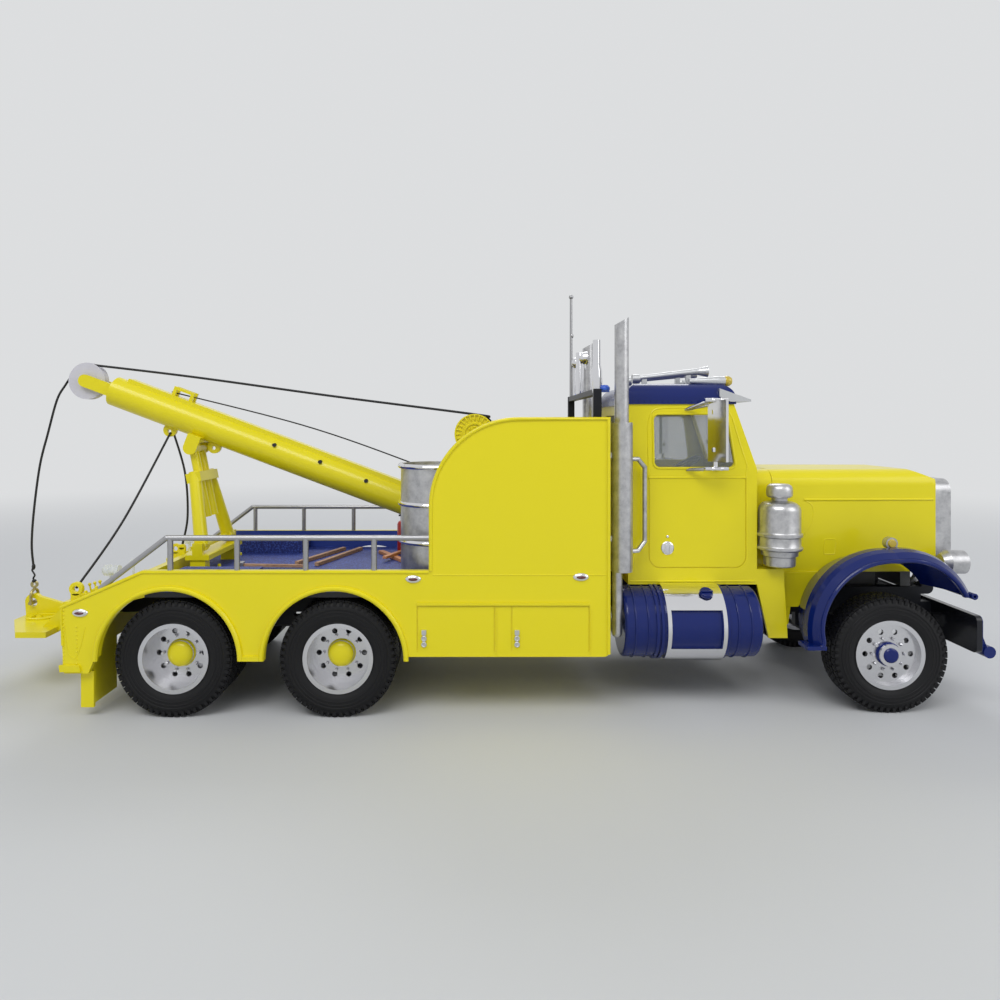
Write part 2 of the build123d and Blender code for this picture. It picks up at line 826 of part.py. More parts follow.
def cab_roof():
    inner = block((cab_rear_x + cab_wall, screen_x(cab_eave) - cab_wall),
                  (-eave_half_width + cab_wall, eave_half_width - cab_wall),
                  (cab_eave - 1, cab_eave + roof_rise - cab_wall))
    inner = fillet(inner.faces().sort_by(Axis.Z)[-1].edges(), roof_radius - cab_wall)
    return roof_cap() - inner


def cab_floor():
    half = cab_half_width - cab_wall
    return block((cab_rear_x + cab_wall, cab_front_x - cab_wall), (-half, half),
                 (cab_bottom, cab_bottom + cab_wall))


def cab_glass():
    top_front = side_window_front_x - windscreen_lean * 0.36
    gap = seat_gap
    side = slab([(side_window_rear_x + gap, side_window_bottom + gap),
                 (side_window_front_x - gap, side_window_bottom + gap),
                 (top_front - gap, side_window_top - gap),
                 (side_window_rear_x + gap, side_window_top - gap)], (0, cab_half_width + 5))
    side = fillet(side.edges().filter_by(Axis.Y), 2.0)
    inset = cab_wall / 2
    low = side_window_bottom - 2
    high = side_window_top + 2
    sheet = [(lean_y(low) - inset, low), (lean_y(high) - inset, high),
             (lean_y(high) - inset - glass_thickness, high), (lean_y(low) - inset - glass_thickness, low)]
    side &= section(sheet, (cab_rear_x, cab_front_x))
    glass = pair(side)
    rear = block((cab_rear_x + inset - glass_thickness / 2, cab_rear_x + inset + glass_thickness / 2),
                 (-rear_window_half_width + gap, rear_window_half_width - gap),
                 (cab_belt + 3 + gap, cab_eave - 4 - gap))
    glass += fillet(rear.edges().filter_by(Axis.X), 2.0)
    lean = [(screen_x(cab_belt) - inset - glass_thickness / 2, cab_belt),
            (screen_x(cab_belt) - inset + glass_thickness / 2, cab_belt),
            (screen_x(cab_eave) - inset + glass_thickness / 2, cab_eave),
            (screen_x(cab_eave) - inset - glass_thickness / 2, cab_eave)]
    for side_sign in (-1, 1):
        edges = sorted((side_sign * (centre_post_width / 2 + gap),
                        side_sign * (eave_half_width - cab_wall - 1.4 - gap)))
        pane = slab(lean, (-cab_half_width, cab_half_width))
        glass += pane & block((cab_rear_x, cowl_front_x), edges, (cab_belt + 1.2 + gap, cab_eave - 2.0 - gap))
    return glass


def cab_interior():
    floor = cab_bottom + cab_wall
    dash_rear = cab_front_x - cab_wall - dash_depth
    half = cab_half_width - cab_wall
    inside = block((dash_rear, cab_front_x - cab_wall), (-half, half), (dash_bottom, dash_bottom + dash_height))
    for side in (-1, 1):
        y = (side * seat_y - seat_width / 2, side * seat_y + seat_width / 2)
        rear = cab_rear_x + cab_wall + 3
        seat = block((rear, rear + seat_length), y, (floor, floor + seat_height))
        seat += block((rear, rear + seat_back_thickness), y, (floor, floor + seat_height + seat_back_height))
        inside += seat
    return inside


def steering_wheel():
    ring = Torus(wheel_rim_radius, wheel_rim_thickness)
    for turn in (0, 120, 240):
        ring += Rot(0, 0, turn) * rod((0, 0, 0), (wheel_rim_radius, 0, 0), 0.45)
    ring += rod((0, 0, -0.9), (0, 0, 0.7), 1.4)
    place = Pos(steering_wheel_x, seat_y, steering_wheel_z) * Rot(0, -steering_wheel_tilt, 0)
    lean = math.radians(steering_wheel_tilt)
    dash_rear = cab_front_x - cab_wall - dash_depth
    run = (dash_rear - steering_wheel_x) / math.sin(lean)
    column = rod((0, 0, -run - 3), (0, 0, 0), 0.8)
    whole = place * (ring + column)
    half = cab_half_width
    return whole - block((dash_rear, cab_front_x), (-half, half), (0, cab_eave))


def sun_visor():
    """Visor over the front of the roof, with cheeks outside the roof's sides."""
    root_x = screen_x(cab_eave) - visor_seat
    root_z = cab_eave + roof_rise - visor_root_drop
    drop = math.radians(visor_drop)
    tip_x = root_x + visor_length * math.cos(drop)
    tip_z = root_z - visor_length * math.sin(drop)
    low = tip_z - visor_thickness
    half = eave_half_width + roof_overhang + visor_thickness
    visor = slab([(root_x, root_z), (tip_x, tip_z), (tip_x, low), (root_x, root_z - visor_thickness)], (-half, half))
    for side in (-1, 1):
        y = sorted((side * half, side * (half - visor_thickness)))
        visor += slab([(root_x, root_z), (tip_x, tip_z), (tip_x, low), (root_x + visor_cheek_foot, low),
                       (root_x, low + visor_cheek_rise)], y)
    return visor - roof_cap()


def roof_fittings():
    """Two air horns, a row of marker lamps and the corner lamps."""
    top = cab_eave + roof_rise
    fittings = None
    tail_z = top + horn_tail_height
    mouth_z = top + horn_mouth_height
    for side in (-1, 1):
        y = side * horn_y
        rear = cab_rear_x + horn_rear
        front = rear + horn_length
        throat = front - horn_flare_length
        horn = rod((rear, y, tail_z), (rear + horn_bell_length, y, tail_z), horn_bell_radius)
        horn += rod((rear, y, tail_z), (throat, y, mouth_z), horn_tail_radius, horn_throat_radius)
        horn += rod((throat, y, mouth_z), (front, y, mouth_z), horn_throat_radius, horn_mouth_radius)
        for leg_x in (rear + 4, front - 9):
            leg_z = tail_z + (mouth_z - tail_z) * (leg_x + 1 - rear) / (horn_length - 4)
            horn += block((leg_x, leg_x + 2), (y - 0.8, y + 0.8), (top, leg_z))
        fittings = horn if fittings is None else fittings + horn
    lamp_x = screen_x(cab_eave) - roof_radius - 1.5
    for y in marker_lamp_y:
        lamp = rod((lamp_x - 1, y, top), (lamp_x - 1, y, top + marker_lamp_radius), 0.9)
        lamp += rod((lamp_x - 4, y, top + marker_lamp_radius + 0.4),
                    (lamp_x + 2, y, top + marker_lamp_radius + 0.4), marker_lamp_radius)
        fittings += lamp
    front = screen_x(cab_eave) - corner_lamp_seat - side_play
    for side in (-1, 1):
        y = side * corner_lamp_y
        z = top + corner_lamp_radius - 0.8
        lamp = rod((front - corner_lamp_length, y, z), (front - 3, y, z), corner_lamp_radius * 0.5,
                   corner_lamp_radius)
        lamp += rod((front - 3, y, z), (front, y, z), corner_lamp_radius)
        fittings += lamp - roof_cap()
    return fittings


def mirrors():
    head = Box(mirror_thickness, mirror_width, mirror_height)
    head = Pos(mirror_x, mirror_y, mirror_z) * Rot(0, 0, mirror_turn) * head
    arms = None
    low = mirror_z - mirror_height / 2
    # height on the door, height at the head
    for door_z, head_z in ((cab_eave - mirror_arm_drop, mirror_z + mirror_height / 2 - 1.4),
                           (cab_belt - 0.6, low - mirror_arm_drop)):
        arm = rod((mirror_x - 9, lean_y(door_z) - 0.1, door_z), (mirror_x - 0.4, mirror_y - 1, head_z),
                  mirror_arm_radius)
        arm += rod((mirror_x + 3, lean_y(door_z) - 0.1, door_z), (mirror_x - 0.2, mirror_y - 1, head_z),
                   mirror_arm_radius)
        arms = arm if arms is None else arms + arm
    foot = (mirror_x - 0.3, mirror_y - 1, low - mirror_arm_drop)
    arms += rod(foot, (mirror_x - 0.3, mirror_y - 1, low + 2), mirror_arm_radius)
    solid_cab = section([(-cab_half_width, cab_bottom), (cab_half_width, cab_bottom),
                         (cab_half_width, cab_belt), (eave_half_width, cab_eave),
                         (-eave_half_width, cab_eave), (-cab_half_width, cab_belt)],
                        (cab_rear_x, cab_front_x))
    return pair(head + (arms - solid_cab))


def cowl_skirts():
    """Plates that close the gap between cab and fender, with their shelf."""
    high = cowl_bottom + 2.8
    y = (cab_half_width - skirt_thickness, cab_half_width)
    front = cowl_front_x + 1.4
    plate = slab([(cab_front_x, high), (front, high), (front + 1.6, skirt_foot_z),
                  (front + 1.6 - skirt_foot_width, skirt_foot_z), (cab_front_x, cab_bottom)], y)
    shelf = block((cab_front_x, cowl_front_x - 0.6), (cowl_half_width, cab_half_width),
                  (high - skirt_thickness, high))
    tank_end = tank_rear_x + tank_length + side_play
    tank_room = rod((tank_rear_x, tank_y, tank_z), (tank_end, tank_y, tank_z), tank_radius + side_play)
    return pair(plate + shelf - tank_room)


# ---------- hood ----------
hood_rear_x = cowl_front_x + hood_gap


def hood_shell(inset):
    """The hood's outer form, or the space inside it, as a straight loft."""
    faces = []
    for x, half in ((hood_rear_x, hood_rear_half_width), (hood_front_x, hood_front_half_width)):
        width = half - inset
        top = hood_top - inset
        low = hood_bottom
        corner = hood_corner - inset
        reach = -inset if x == hood_rear_x else inset
        edge = [
            Line((x + reach, -width, low), (x + reach, -width, top - corner)),
            Line((x + reach, -width + corner, top), (x + reach, width - corner, top)),
            Line((x + reach, width, top - corner), (x + reach, width, low)),
            Line((x + reach, width, low), (x + reach, -width, low)),
        ]
        turn = corner * (1 - math.sqrt(0.5))
        arcs = [
            ThreePointArc((x + reach, -width, top - corner), (x + reach, -width + turn, top - turn),
                          (x + reach, -width + corner, top)),
            ThreePointArc((x + reach, width - corner, top), (x + reach, width - turn, top - turn),
                          (x + reach, width, top - corner)),
        ]
        faces.append(make_face([edge[0], arcs[0], edge[1], arcs[1], edge[2], edge[3]]))
    return loft(faces)


def nose_cut(inset):
    """What the sloping nose takes off the hood's front."""
    drop = hood_nose_drop + inset
    return slab([(hood_nose_start_x, hood_top - inset), (hood_front_x + 5, hood_top - drop - 2.0),
                 (hood_front_x + 5, hood_top + 9), (hood_nose_start_x, hood_top + 9)],
                (-hood_rear_half_width - 5, hood_rear_half_width + 5))


def hood():
    outer = hood_shell(0) - nose_cut(0)
    inner = hood_shell(hood_wall) - nose_cut(hood_wall)
    inner += block((hood_rear_x - 2, hood_front_x + 2), (-hood_front_half_width + 4, hood_front_half_width - 4),
                   (hood_bottom - 2, hood_bottom + 1))
    splash = slab(splash_outline, (hood_rear_half_width - hood_wall, hood_rear_half_width))
    splash -= hood_shell(0)
    return outer - inner + splash + mirrored(splash)


def radiator_shell():
    half = hood_front_half_width
    body = block((hood_front_x, shell_front_x), (-half, half), (shell_bottom, shell_top))
    body = fillet(body.edges().filter_by(Axis.X).group_by(Axis.Z)[-1], hood_corner - 1)
    hole = block((hood_front_x - 1, shell_front_x + 1), (-half + shell_frame, half - shell_frame),
                 (shell_bottom + shell_frame, shell_top - shell_frame))
    body -= fillet(hole.edges().filter_by(Axis.X).group_by(Axis.Z)[-1], 2.0)
    for side in (-1, 1):
        y = (side * hood_lug_y - hood_lug_width / 2, side * hood_lug_y + hood_lug_width / 2)
        body += slab([(hood_pivot_x, hood_pivot_z - 0.5), (hood_front_x + 4, shell_bottom),
                      (hood_front_x, shell_bottom), (hood_pivot_x - hood_lug_radius + 0.4, hood_pivot_z)], y)
        body += across(hood_pivot_x, hood_pivot_z, y, hood_lug_radius)
    half_pin = hood_lug_y + hood_lug_width
    return body - across(hood_pivot_x, hood_pivot_z, (-half_pin, half_pin), hood_pin_radius + running_fit)


def grille():
    """Upright bars tied by a frame inside the shell."""
    half = hood_front_half_width - shell_frame - seat_gap
    low = shell_bottom + shell_frame + seat_gap
    high = shell_top - shell_frame - seat_gap
    x = (shell_front_x - 1.0 - grille_depth, shell_front_x - 1.0)
    rim = 0.9
    plate = block(x, (-half, half), (low, high))
    plate = fillet(plate.edges().filter_by(Axis.X).group_by(Axis.Z)[-1], 2.0)
    window = block((x[0] - 1, x[1] + 1), (-half + rim, half - rim), (low + rim, high - rim))
    plate -= fillet(window.edges().filter_by(Axis.X).group_by(Axis.Z)[-1], 1.2)
    pitch = 2 * (half - rim) / (grille_bar_count + 1)
    for bar in range(1, grille_bar_count + 1):
        y = -half + rim + bar * pitch
        plate += block(x, (y - grille_bar_width / 2, y + grille_bar_width / 2), (low + rim / 2, high - rim / 2))
    return plate


def fender_profile(inset, y):
    """The fender's side outline set in by a distance, closed along its chord."""
    middle_x = front_axle_x + 1.6
    top_z = axle_z + fender_top_radius - inset
    foot = (fender_foot_x + inset, fender_foot_z)
    rear_angle = math.radians(140)
    radius = fender_rear_radius - inset
    rear = (middle_x + radius * math.cos(rear_angle), axle_z + radius * math.sin(rear_angle))
    front_angle = math.radians(55)
    radius = fender_top_radius - inset
    front = (middle_x + radius * math.cos(front_angle), axle_z + radius * math.sin(front_angle))
    tip = (fender_tip_x - inset, fender_tip_z)

    def at(point):
        return (point[0], y, point[1])

    top = (middle_x, top_z)
    return make_face([
        ThreePointArc(at(foot), at(rear), at(top)),
        ThreePointArc(at(top), at(front), at(tip)),
        Line(at(tip), at((tip[0], fender_foot_z))),
        Line(at((tip[0], fender_foot_z)), at(foot)),
    ])


def fender_form(inset, inner_y):
    """The fender filled in: rising from the hood's side to its crown, then rounded down to its lip."""
    edge = hood_rear_half_width + seat_gap
    inner_drop = fender_inner_drop * (fender_crown_y - inner_y) / (fender_crown_y - edge)
    crown = fender_outer_y - fender_crown_radius
    width = fender_crown_radius - inset
    # section's place in Y, drop of its outline
    sections = [(inner_y, inner_drop), (fender_crown_y, 0.0), (crown, 0.0),
                (crown + width * 0.5, fender_crown_drop * 0.3), (crown + width, fender_crown_drop)]
    form = None
    for (near_y, near), (far_y, far) in zip(sections, sections[1:]):
        step = loft([fender_profile(inset + near, near_y), fender_profile(inset + far, far_y)])
        form = step if form is None else form + step
    return form


def fender():
    """Left front fender, its inner edge against the hood's side."""
    inner_y = hood_rear_half_width + seat_gap
    shell = fender_form(0, inner_y) - fender_form(fender_thickness, inner_y - 1)
    opening = extrude(fender_profile(fender_thickness + fender_lip, fender_crown_y),
                      fender_outer_y - fender_crown_y + 9, dir=(0, 1, 0))
    low = block((front_axle_x - 99, front_axle_x + 99), (0, 99), (-9, fender_foot_z))
    front_low = block((front_axle_x, front_axle_x + 99), (0, 99), (-9, fender_tip_z))
    return shell - opening - low - front_low


def fender_lamp():
    """Round side lamp on the left fender's crown."""
    x, y = fender_lamp_x, fender_lamp_y
    top = axle_z + fender_top_radius
    middle = top + fender_lamp_height - fender_lamp_radius
    lamp = rod((x, y, top - 2.0), (x, y, middle), fender_lamp_stem)
    half = fender_lamp_depth / 2
    lamp += rod((x, y - half, middle), (x, y + half, middle), fender_lamp_radius)
    return lamp - fender_form(0, hood_rear_half_width + seat_gap)


def headlights():
    rear = headlight_front_x - headlight_length
    can = rod((rear + 2.4, headlight_y, headlight_z), (headlight_front_x, headlight_y, headlight_z),
              headlight_radius)
    can += rod((rear, headlight_y, headlight_z), (rear + 2.4, headlight_y, headlight_z),
               headlight_radius - 1.6, headlight_radius)
    arm = block((headlight_front_x - 5.4, headlight_front_x - 2.4), (hood_front_half_width, headlight_y),
                (headlight_z - 1.2, headlight_z + 1.2))
    return pair(can + arm + fender_lamp())


# ---------- bumper ----------
def bumper():
    x = (bumper_rear_x, bumper_rear_x + bumper_thickness)
    bar = block(x, (-bumper_half_length, bumper_half_length), (bumper_bottom, bumper_bottom + bumper_height))
    return fillet(bar.edges().filter_by(Axis.X), bumper_corner)


def push_bar():
    bar = across(push_bar_x, push_bar_z, (-bumper_half_length + 1, bumper_half_length - 1), push_bar_radius)
    face = bumper_rear_x + bumper_thickness
    for y in (-bumper_half_length + 4, -14.0, 14.0, bumper_half_length - 4):
        half = push_bracket_width / 2
        bar += slab([(face, push_bar_z + 9.5), (push_bar_x, push_bar_z + 1.5), (push_bar_x, push_bar_z - 1.0),
                     (face, push_bar_z + 0.4)], (y - half, y + half))
    return bar


# ---------- tanks, steps, stacks, air cleaners ----------
def fuel_tanks():
    high = tank_rear_x + tank_length
    tank = rod((tank_rear_x, tank_y, tank_z), (high, tank_y, tank_z), tank_radius)
    tank = fillet(tank.edges().filter_by(GeomType.CIRCLE), 1.2)
    return pair(tank)


def step_boxes():
    """A polished band with a window, round the outer half of each tank."""
    x = (step_rear_x, step_rear_x + step_length)
    band = rod((x[0], tank_y, tank_z), (x[1], tank_y, tank_z), tank_radius + step_thickness)
    band -= rod((x[0] - 1, tank_y, tank_z), (x[1] + 1, tank_y, tank_z), tank_radius)
    band &= block(x, (cab_half_width + side_play, tank_y + 30), (tank_z - 30, tank_z + 30))
    half = step_opening_height / 2
    return pair(band - block((x[0] + step_opening_margin, x[1] - step_opening_margin),
                             (tank_y + 5, tank_y + 30), (tank_z - half, tank_z + half)))


def exhausts():
    """Upright stacks with heat shields, brackets and the cab's grab handles."""
    lower_x = stack_x - 1.7
    pipe = rod((stack_x, stack_y, stack_shield_top - 1), (stack_x, stack_y, stack_top), stack_pipe_radius)
    cut_low = stack_top - stack_cut_rise
    pipe -= slab([(stack_x - 4, cut_low), (stack_x + 4, stack_top + 0.2), (stack_x + 4, stack_top + 9),
                  (stack_x - 4, stack_top + 9)], (stack_y - 9, stack_y + 9))
    pipe -= rod((stack_x, stack_y, stack_top - 12), (stack_x, stack_y, stack_top + 5), stack_pipe_radius - 0.6)
    pipe += rod((stack_x, stack_y, stack_shield_bottom), (stack_x, stack_y, stack_shield_top),
                stack_shield_radius)
    pipe += rod((lower_x, stack_y, stack_bottom), (lower_x, stack_y, stack_shield_bottom + 1),
                stack_lower_radius)
    pipe += Pos(lower_x, stack_y, stack_bottom) * Sphere(stack_lower_radius)
    pipe += rod((lower_x, stack_y, stack_bottom), (lower_x, rail_outer_y, stack_bottom + 4), stack_lower_radius)
    pipe -= block((0, 99), (0, rail_outer_y), (0, 99))
    for z in (stack_shield_bottom + 12, stack_shield_top - 12):
        pipe += block((side_front_x, stack_x), (stack_y - 1, stack_y + 1), (z - 1, z + 1))
    handle_x = stack_x + handle_reach
    handle_y = stack_y - handle_inset
    share = handle_corner / math.hypot(handle_reach, handle_inset)
    bend = (handle_x - share * handle_reach, handle_y + share * handle_inset)
    for z, rise in ((handle_bottom, handle_corner), (handle_top, -handle_corner)):
        pipe += rod((stack_x, stack_y, z), (*bend, z), handle_radius)
        pipe += Pos(*bend, z) * Sphere(handle_radius)
        pipe += rod((*bend, z), (handle_x, handle_y, z + rise), handle_radius)
        pipe += Pos(handle_x, handle_y, z + rise) * Sphere(handle_radius)
    pipe += rod((handle_x, handle_y, handle_bottom + handle_corner), (handle_x, handle_y, handle_top - handle_corner),
                handle_radius)
    return pair(pipe)


def air_cleaners():
    x, y = cleaner_x, cleaner_y
    top = cleaner_top + cleaner_neck_height
    can = rod((x, y, cleaner_bottom), (x, y, cleaner_top), cleaner_radius)
    for share in (0.3, 0.68):
        z = cleaner_bottom + (cleaner_top - cleaner_bottom) * share
        can += rod((x, y, z - 0.5), (x, y, z + 0.5), cleaner_radius + 0.4)
    can += rod((x, y, cleaner_bottom - cleaner_cup_height), (x, y, cleaner_bottom), cleaner_radius - 1.6)
    can += rod((x, y, cleaner_top), (x, y, top), cleaner_neck_radius)
    can += rod((x, y, top), (x, y, top + cleaner_cap_height), cleaner_cap_radius)
    can += block((x - 2, cowl_front_x - 0.6), (cowl_half_width, y - 3), (cleaner_bottom + 3, cleaner_bottom + 9))
    return pair(can)


# ---------- wrecker body ----------
def side_outline():
    arch = arch_radius + arch_lip - 0.3
    return [
        (side_front_x, side_bottom), (side_front_x, tall_top), (tall_rear_x, tall_top),
        (tall_rear_x, side_top), (slope_start_x, side_top), (tail_x, tail_top),
        (tail_x + 1.6, tail_bottom), (tail_x + 1.6 + tail_foot_length, tail_bottom),
        (rear_arch_x - arch, side_bottom - 1), (rear_arch_x - arch, side_bottom),
    ]


def body_side():
    y = (side_inner_y, side_outer_y)
    panel = slab(side_outline(), y)
    corner = panel.edges().filter_by(Axis.Y).sort_by_distance((tall_rear_x, side_outer_y, tall_top))[0]
    panel = fillet(corner, tall_corner)
    corner = panel.edges().filter_by(Axis.Y).sort_by_distance((side_front_x, side_outer_y, side_bottom))[0]
    panel = fillet(corner, 2.5)
    low = side_bottom - arch_foot_drop
    outer = side_outer_y + arch_lip_reach
    for x in (rear_arch_x, middle_arch_x):
        panel += across(x, axle_z, (side_outer_y, outer), arch_radius + arch_lip)
    panel += block((rear_arch_x, middle_arch_x), (side_inner_y, outer), (low, low + arch_lip))
    for x in (rear_arch_x, middle_arch_x):
        panel -= across(x, axle_z, (side_inner_y - 1, side_outer_y + 2), arch_radius)
    reach = arch_radius + arch_lip + 0.2
    panel -= block((rear_arch_x - reach, middle_arch_x + reach), (side_inner_y - 1, side_outer_y + 2), (-9, low))
    skin = (side_outer_y - groove_depth, side_outer_y + 1)
    for x in locker_seam_x:
        panel -= block((x, x + groove_width), skin, (side_bottom + 2, locker_bead_z))
    panel -= block((locker_seam_x[0], locker_seam_x[-1] + groove_width), skin, (locker_bead_z, locker_bead_z + groove_width))
    return panel


def body_lockers():
    """Tool lockers behind the lower side panels, ahead of the wheels."""
    return pair(block((locker_rear_x, deck_front_x), (locker_inner_y, side_inner_y), (side_bottom + 0.6, deck_bottom)))


def body_bulkhead():
    return block((deck_front_x, side_front_x), (-side_inner_y, side_inner_y), (deck_bottom, tall_top))


def deck():
    """Deck floor with a low box over each pair of rear wheels."""
    plate = block((slope_start_x, deck_front_x), (-side_inner_y, side_inner_y), (deck_bottom, deck_top))
    tub = block(tub_x, (tub_inner_y, side_inner_y), (deck_top - 1, deck_top + tub_height))
    return plate + tub + mirrored(tub)


def body_tail():
    """Sloping tail cover, rear panel, cross-beam and the tow bar's ears."""
    half = side_inner_y
    cover = slab([(slope_start_x, deck_bottom), (slope_start_x, deck_top), (tail_front_x, tail_cover_z),
                  (tail_front_x, tail_cover_z - deck_thickness)], (-half, half))
    cover += block((tail_x, tail_front_x), (-half, half), (tail_bottom + 3, tail_cover_z))
    for side in (-1, 1):
        y = (side * tow_ear_y - tow_ear_width / 2, side * tow_ear_y + tow_ear_width / 2)
        ear = slab([(tail_x, tow_hinge_z + tow_hinge_radius), (tow_hinge_x, tow_hinge_z + tow_hinge_radius),
                    (tow_hinge_x, tow_hinge_z - tow_hinge_radius), (tail_x, tow_hinge_z - 8)], y)
        cover += ear + across(tow_hinge_x, tow_hinge_z, y, tow_hinge_radius)
    pin_half = tow_ear_y + tow_ear_width * 1.5 + side_play
    cover += across(tow_hinge_x, tow_hinge_z, (-pin_half, pin_half), tow_pin_radius)
    cover += block((cross_beam_x, cross_beam_x + cross_beam_width - 1), (-half, half),
                   (deck_top - 1.5, deck_top + cross_beam_height + 1.0)) \
        - block((slope_start_x, 0), (-half, half), (0, deck_top))
    return cover


def guard_rail():
    """Left guard rail: top tube, four posts and the slanting rear end."""
    y = guard_rail_y
    first = rail_post_x[0] - 1.4
    rail = rod((first, y, guard_rail_z), (tall_rear_x, y, guard_rail_z), guard_rail_radius)
    rail += Pos(first, y, guard_rail_z) * Sphere(guard_rail_radius)
    for x in rail_post_x:
        rail += rod((x, y, side_top), (x, y, guard_rail_z), guard_rail_radius)
    share = (slope_start_x - guard_rail_foot_x) / (slope_start_x - tail_x)
    foot_z = side_top - (side_top - tail_top) * share
    slant = rod((first, y, guard_rail_z), (guard_rail_foot_x - 1, y, foot_z - 0.5), guard_rail_radius)
    return rail + (slant - slab(side_outline(), (side_inner_y - 9, side_outer_y + 9)))


def mud_flaps():
    y = (side_inner_y - mud_flap_width - 0.4, side_inner_y - 0.4)
    flap = block((mud_flap_x, mud_flap_x + mud_flap_thickness), y, (mud_flap_bottom, tail_cover_z - 6))
    hanger = block((tail_front_x, mud_flap_x), y, (tail_bottom + 6, tail_bottom + 8))
    edge = block((mud_flap_x + mud_flap_edge[0], mud_flap_x + mud_flap_edge[1]), (y[1] - mud_flap_edge_thickness, y[1]),
                 (mud_flap_bottom, tail_bottom))
    return pair(flap + hanger + edge)


# ---------- deck load ----------
def drum():
    x, y = drum_x, -drum_y
    barrel = rod((x, y, deck_top), (x, y, deck_top + drum_height), drum_radius)
    for share in drum_hoop_share:
        z = deck_top + (drum_height - drum_hoop_height) * share
        barrel += rod((x, y, z), (x, y, z + drum_hoop_height), drum_radius + drum_hoop_rise)
    top = deck_top + drum_height
    return barrel - rod((x, y, top - 1.2), (x, y, top + 1), drum_radius - 0.8)


def extinguisher():
    x, y = bottle_x, bottle_y
    neck = deck_top + bottle_height - 3
    bottle = rod((x, y, deck_top), (x, y, neck), bottle_radius)
    return bottle + rod((x, y, neck), (x, y, neck + 3), bottle_radius * 0.4)


# tool: rear end x, y, then front end x, y, and thickness
tool_table = [
    (-75.0, 3.0, -55.0, 38.0, 1.8),
    (-70.0, 1.0, -49.0, 36.0, 1.8),
    (-100.5, -4.0, -72.0, -16.0, 1.4),
    (-41.0, 9.0, -38.0, 37.0, 1.8),
    (-37.0, 7.0, -33.0, 35.0, 1.6),
]


def deck_tools():
    tools = None
    for x0, y0, x1, y1, thick in tool_table:
        length = math.hypot(x1 - x0, y1 - y0)
        angle = math.degrees(math.atan2(y1 - y0, x1 - x0))
        bar = Pos((x0 + x1) / 2, (y0 + y1) / 2, deck_top + thick / 2) * Rot(0, 0, angle) \
            * Box(length, thick, thick)
        tools = bar if tools is None else tools + bar
    return tools


# ---------- boom, mast, winch ----------
def along_boom(shape):
    """Lays a shape built along +X from the origin along the boom."""
    return Pos(heel_x, 0, heel_z) * Rot(0, boom_angle, 0) * Rot(0, 0, 180) * shape


def boom():
    tube = rod((9, 0, 0), (boom_length, 0, 0), boom_radius)
    tube += block((14, boom_length - 5), (-boom_strip_width / 2, boom_strip_width / 2),
                  (boom_radius - 0.9, boom_radius + boom_strip_rise))
    tube += across(0, 0, (-boom_radius, boom_radius), heel_eye_radius)
    tube += block((0, 12), (-boom_radius, boom_radius), (-heel_eye_radius + 0.5, heel_eye_radius - 0.5))
    tube -= across(0, 0, (-boom_radius - 1, boom_radius + 1), heel_pin_radius + running_fit)
    inner = sheave_width / 2 + side_play
    for side in (-1, 1):
        y = sorted((side * inner, side * (inner + fork_thickness)))
        tube += block((boom_length - 1, sheave_distance), y, (-fork_height / 2, fork_height / 2))
        tube += across(sheave_distance, 0, y, fork_height / 2)
    reach = inner + fork_thickness
    tube += across(sheave_distance, 0, (-reach, reach), sheave_pin_radius)
    for station in boom_lug_stations:
        z = -boom_radius - 1.0
        lug = across(station, z, (-boom_lug_thickness / 2, boom_lug_thickness / 2), boom_lug_radius)
        lug -= across(station, z - 0.6, (-3, 3), 0.8)
        tube += lug
    drop = mast_drop
    gap = mast_rod_y + mast_rod_radius + 0.8
    for side in (-1, 1):
        y = sorted((side * gap, side * (gap + boom_lug_thickness)))
        tube += across(mast_station, -drop, y, boom_lug_radius)
        tube += block((mast_station - boom_lug_radius, mast_station + boom_lug_radius), y, (-drop, -boom_radius + 1))
    reach = gap + boom_lug_thickness
    tube += block((mast_station - boom_lug_radius, mast_station + boom_lug_radius), (-reach, reach),
                  (-boom_radius - 0.6, -boom_radius + 1.6))
    tube += across(mast_station, -drop, (-gap - 1, gap + 1), mast_pin_radius)
    for side in (-1, 1):
        y = (side * 1.6 - 0.6, side * 1.6 + 0.6)
        bar_z = boom_radius + boom_strip_rise
        far = handle_station + handle_length
        tube += block((handle_station, handle_station + handle_bar), y, (bar_z, bar_z + 3))
        tube += block((far - handle_bar, far), y, (bar_z, bar_z + 3))
        tube += block((handle_station, far), y, (bar_z + 2.6, bar_z + 3.8))
    return along_boom(tube)


def sheave():
    half = sheave_width / 2
    wheel = turned([(0, -half), (sheave_radius, -half), (sheave_radius - sheave_groove, 0),
                    (sheave_radius, half), (0, half)])
    wheel -= across(0, 0, (-half - 1, half + 1), sheave_pin_radius + running_fit)
    return Pos(*sheave_centre) * wheel


def mast_base():
    half = mast_base_half_width + mast_leg_radius
    mid = mast_base_length / 2
    low = mast_base_z - mast_pivot_radius - 0.6
    plate = block((mast_base_x - mid, mast_base_x + mid), (-half, half), (low - mast_base_plate, low))
    for y in (-half + 3, half - 3):
        plate += block((mast_base_x - 3, mast_base_x + 3), (y - 2.4, y + 2.4), (deck_top, low - mast_base_plate))
    plate += across(mast_base_x, mast_base_z, (-half, half), mast_pin_half)
    for side in (-1, 1):
        y = sorted((side * (mast_base_half_width + mast_leg_radius - 1.6),
                    side * (mast_base_half_width + mast_leg_radius)))
        plate += block((mast_base_x - 2, mast_base_x + 2), y, (low - 0.5, mast_base_z + 1.6))
    return plate


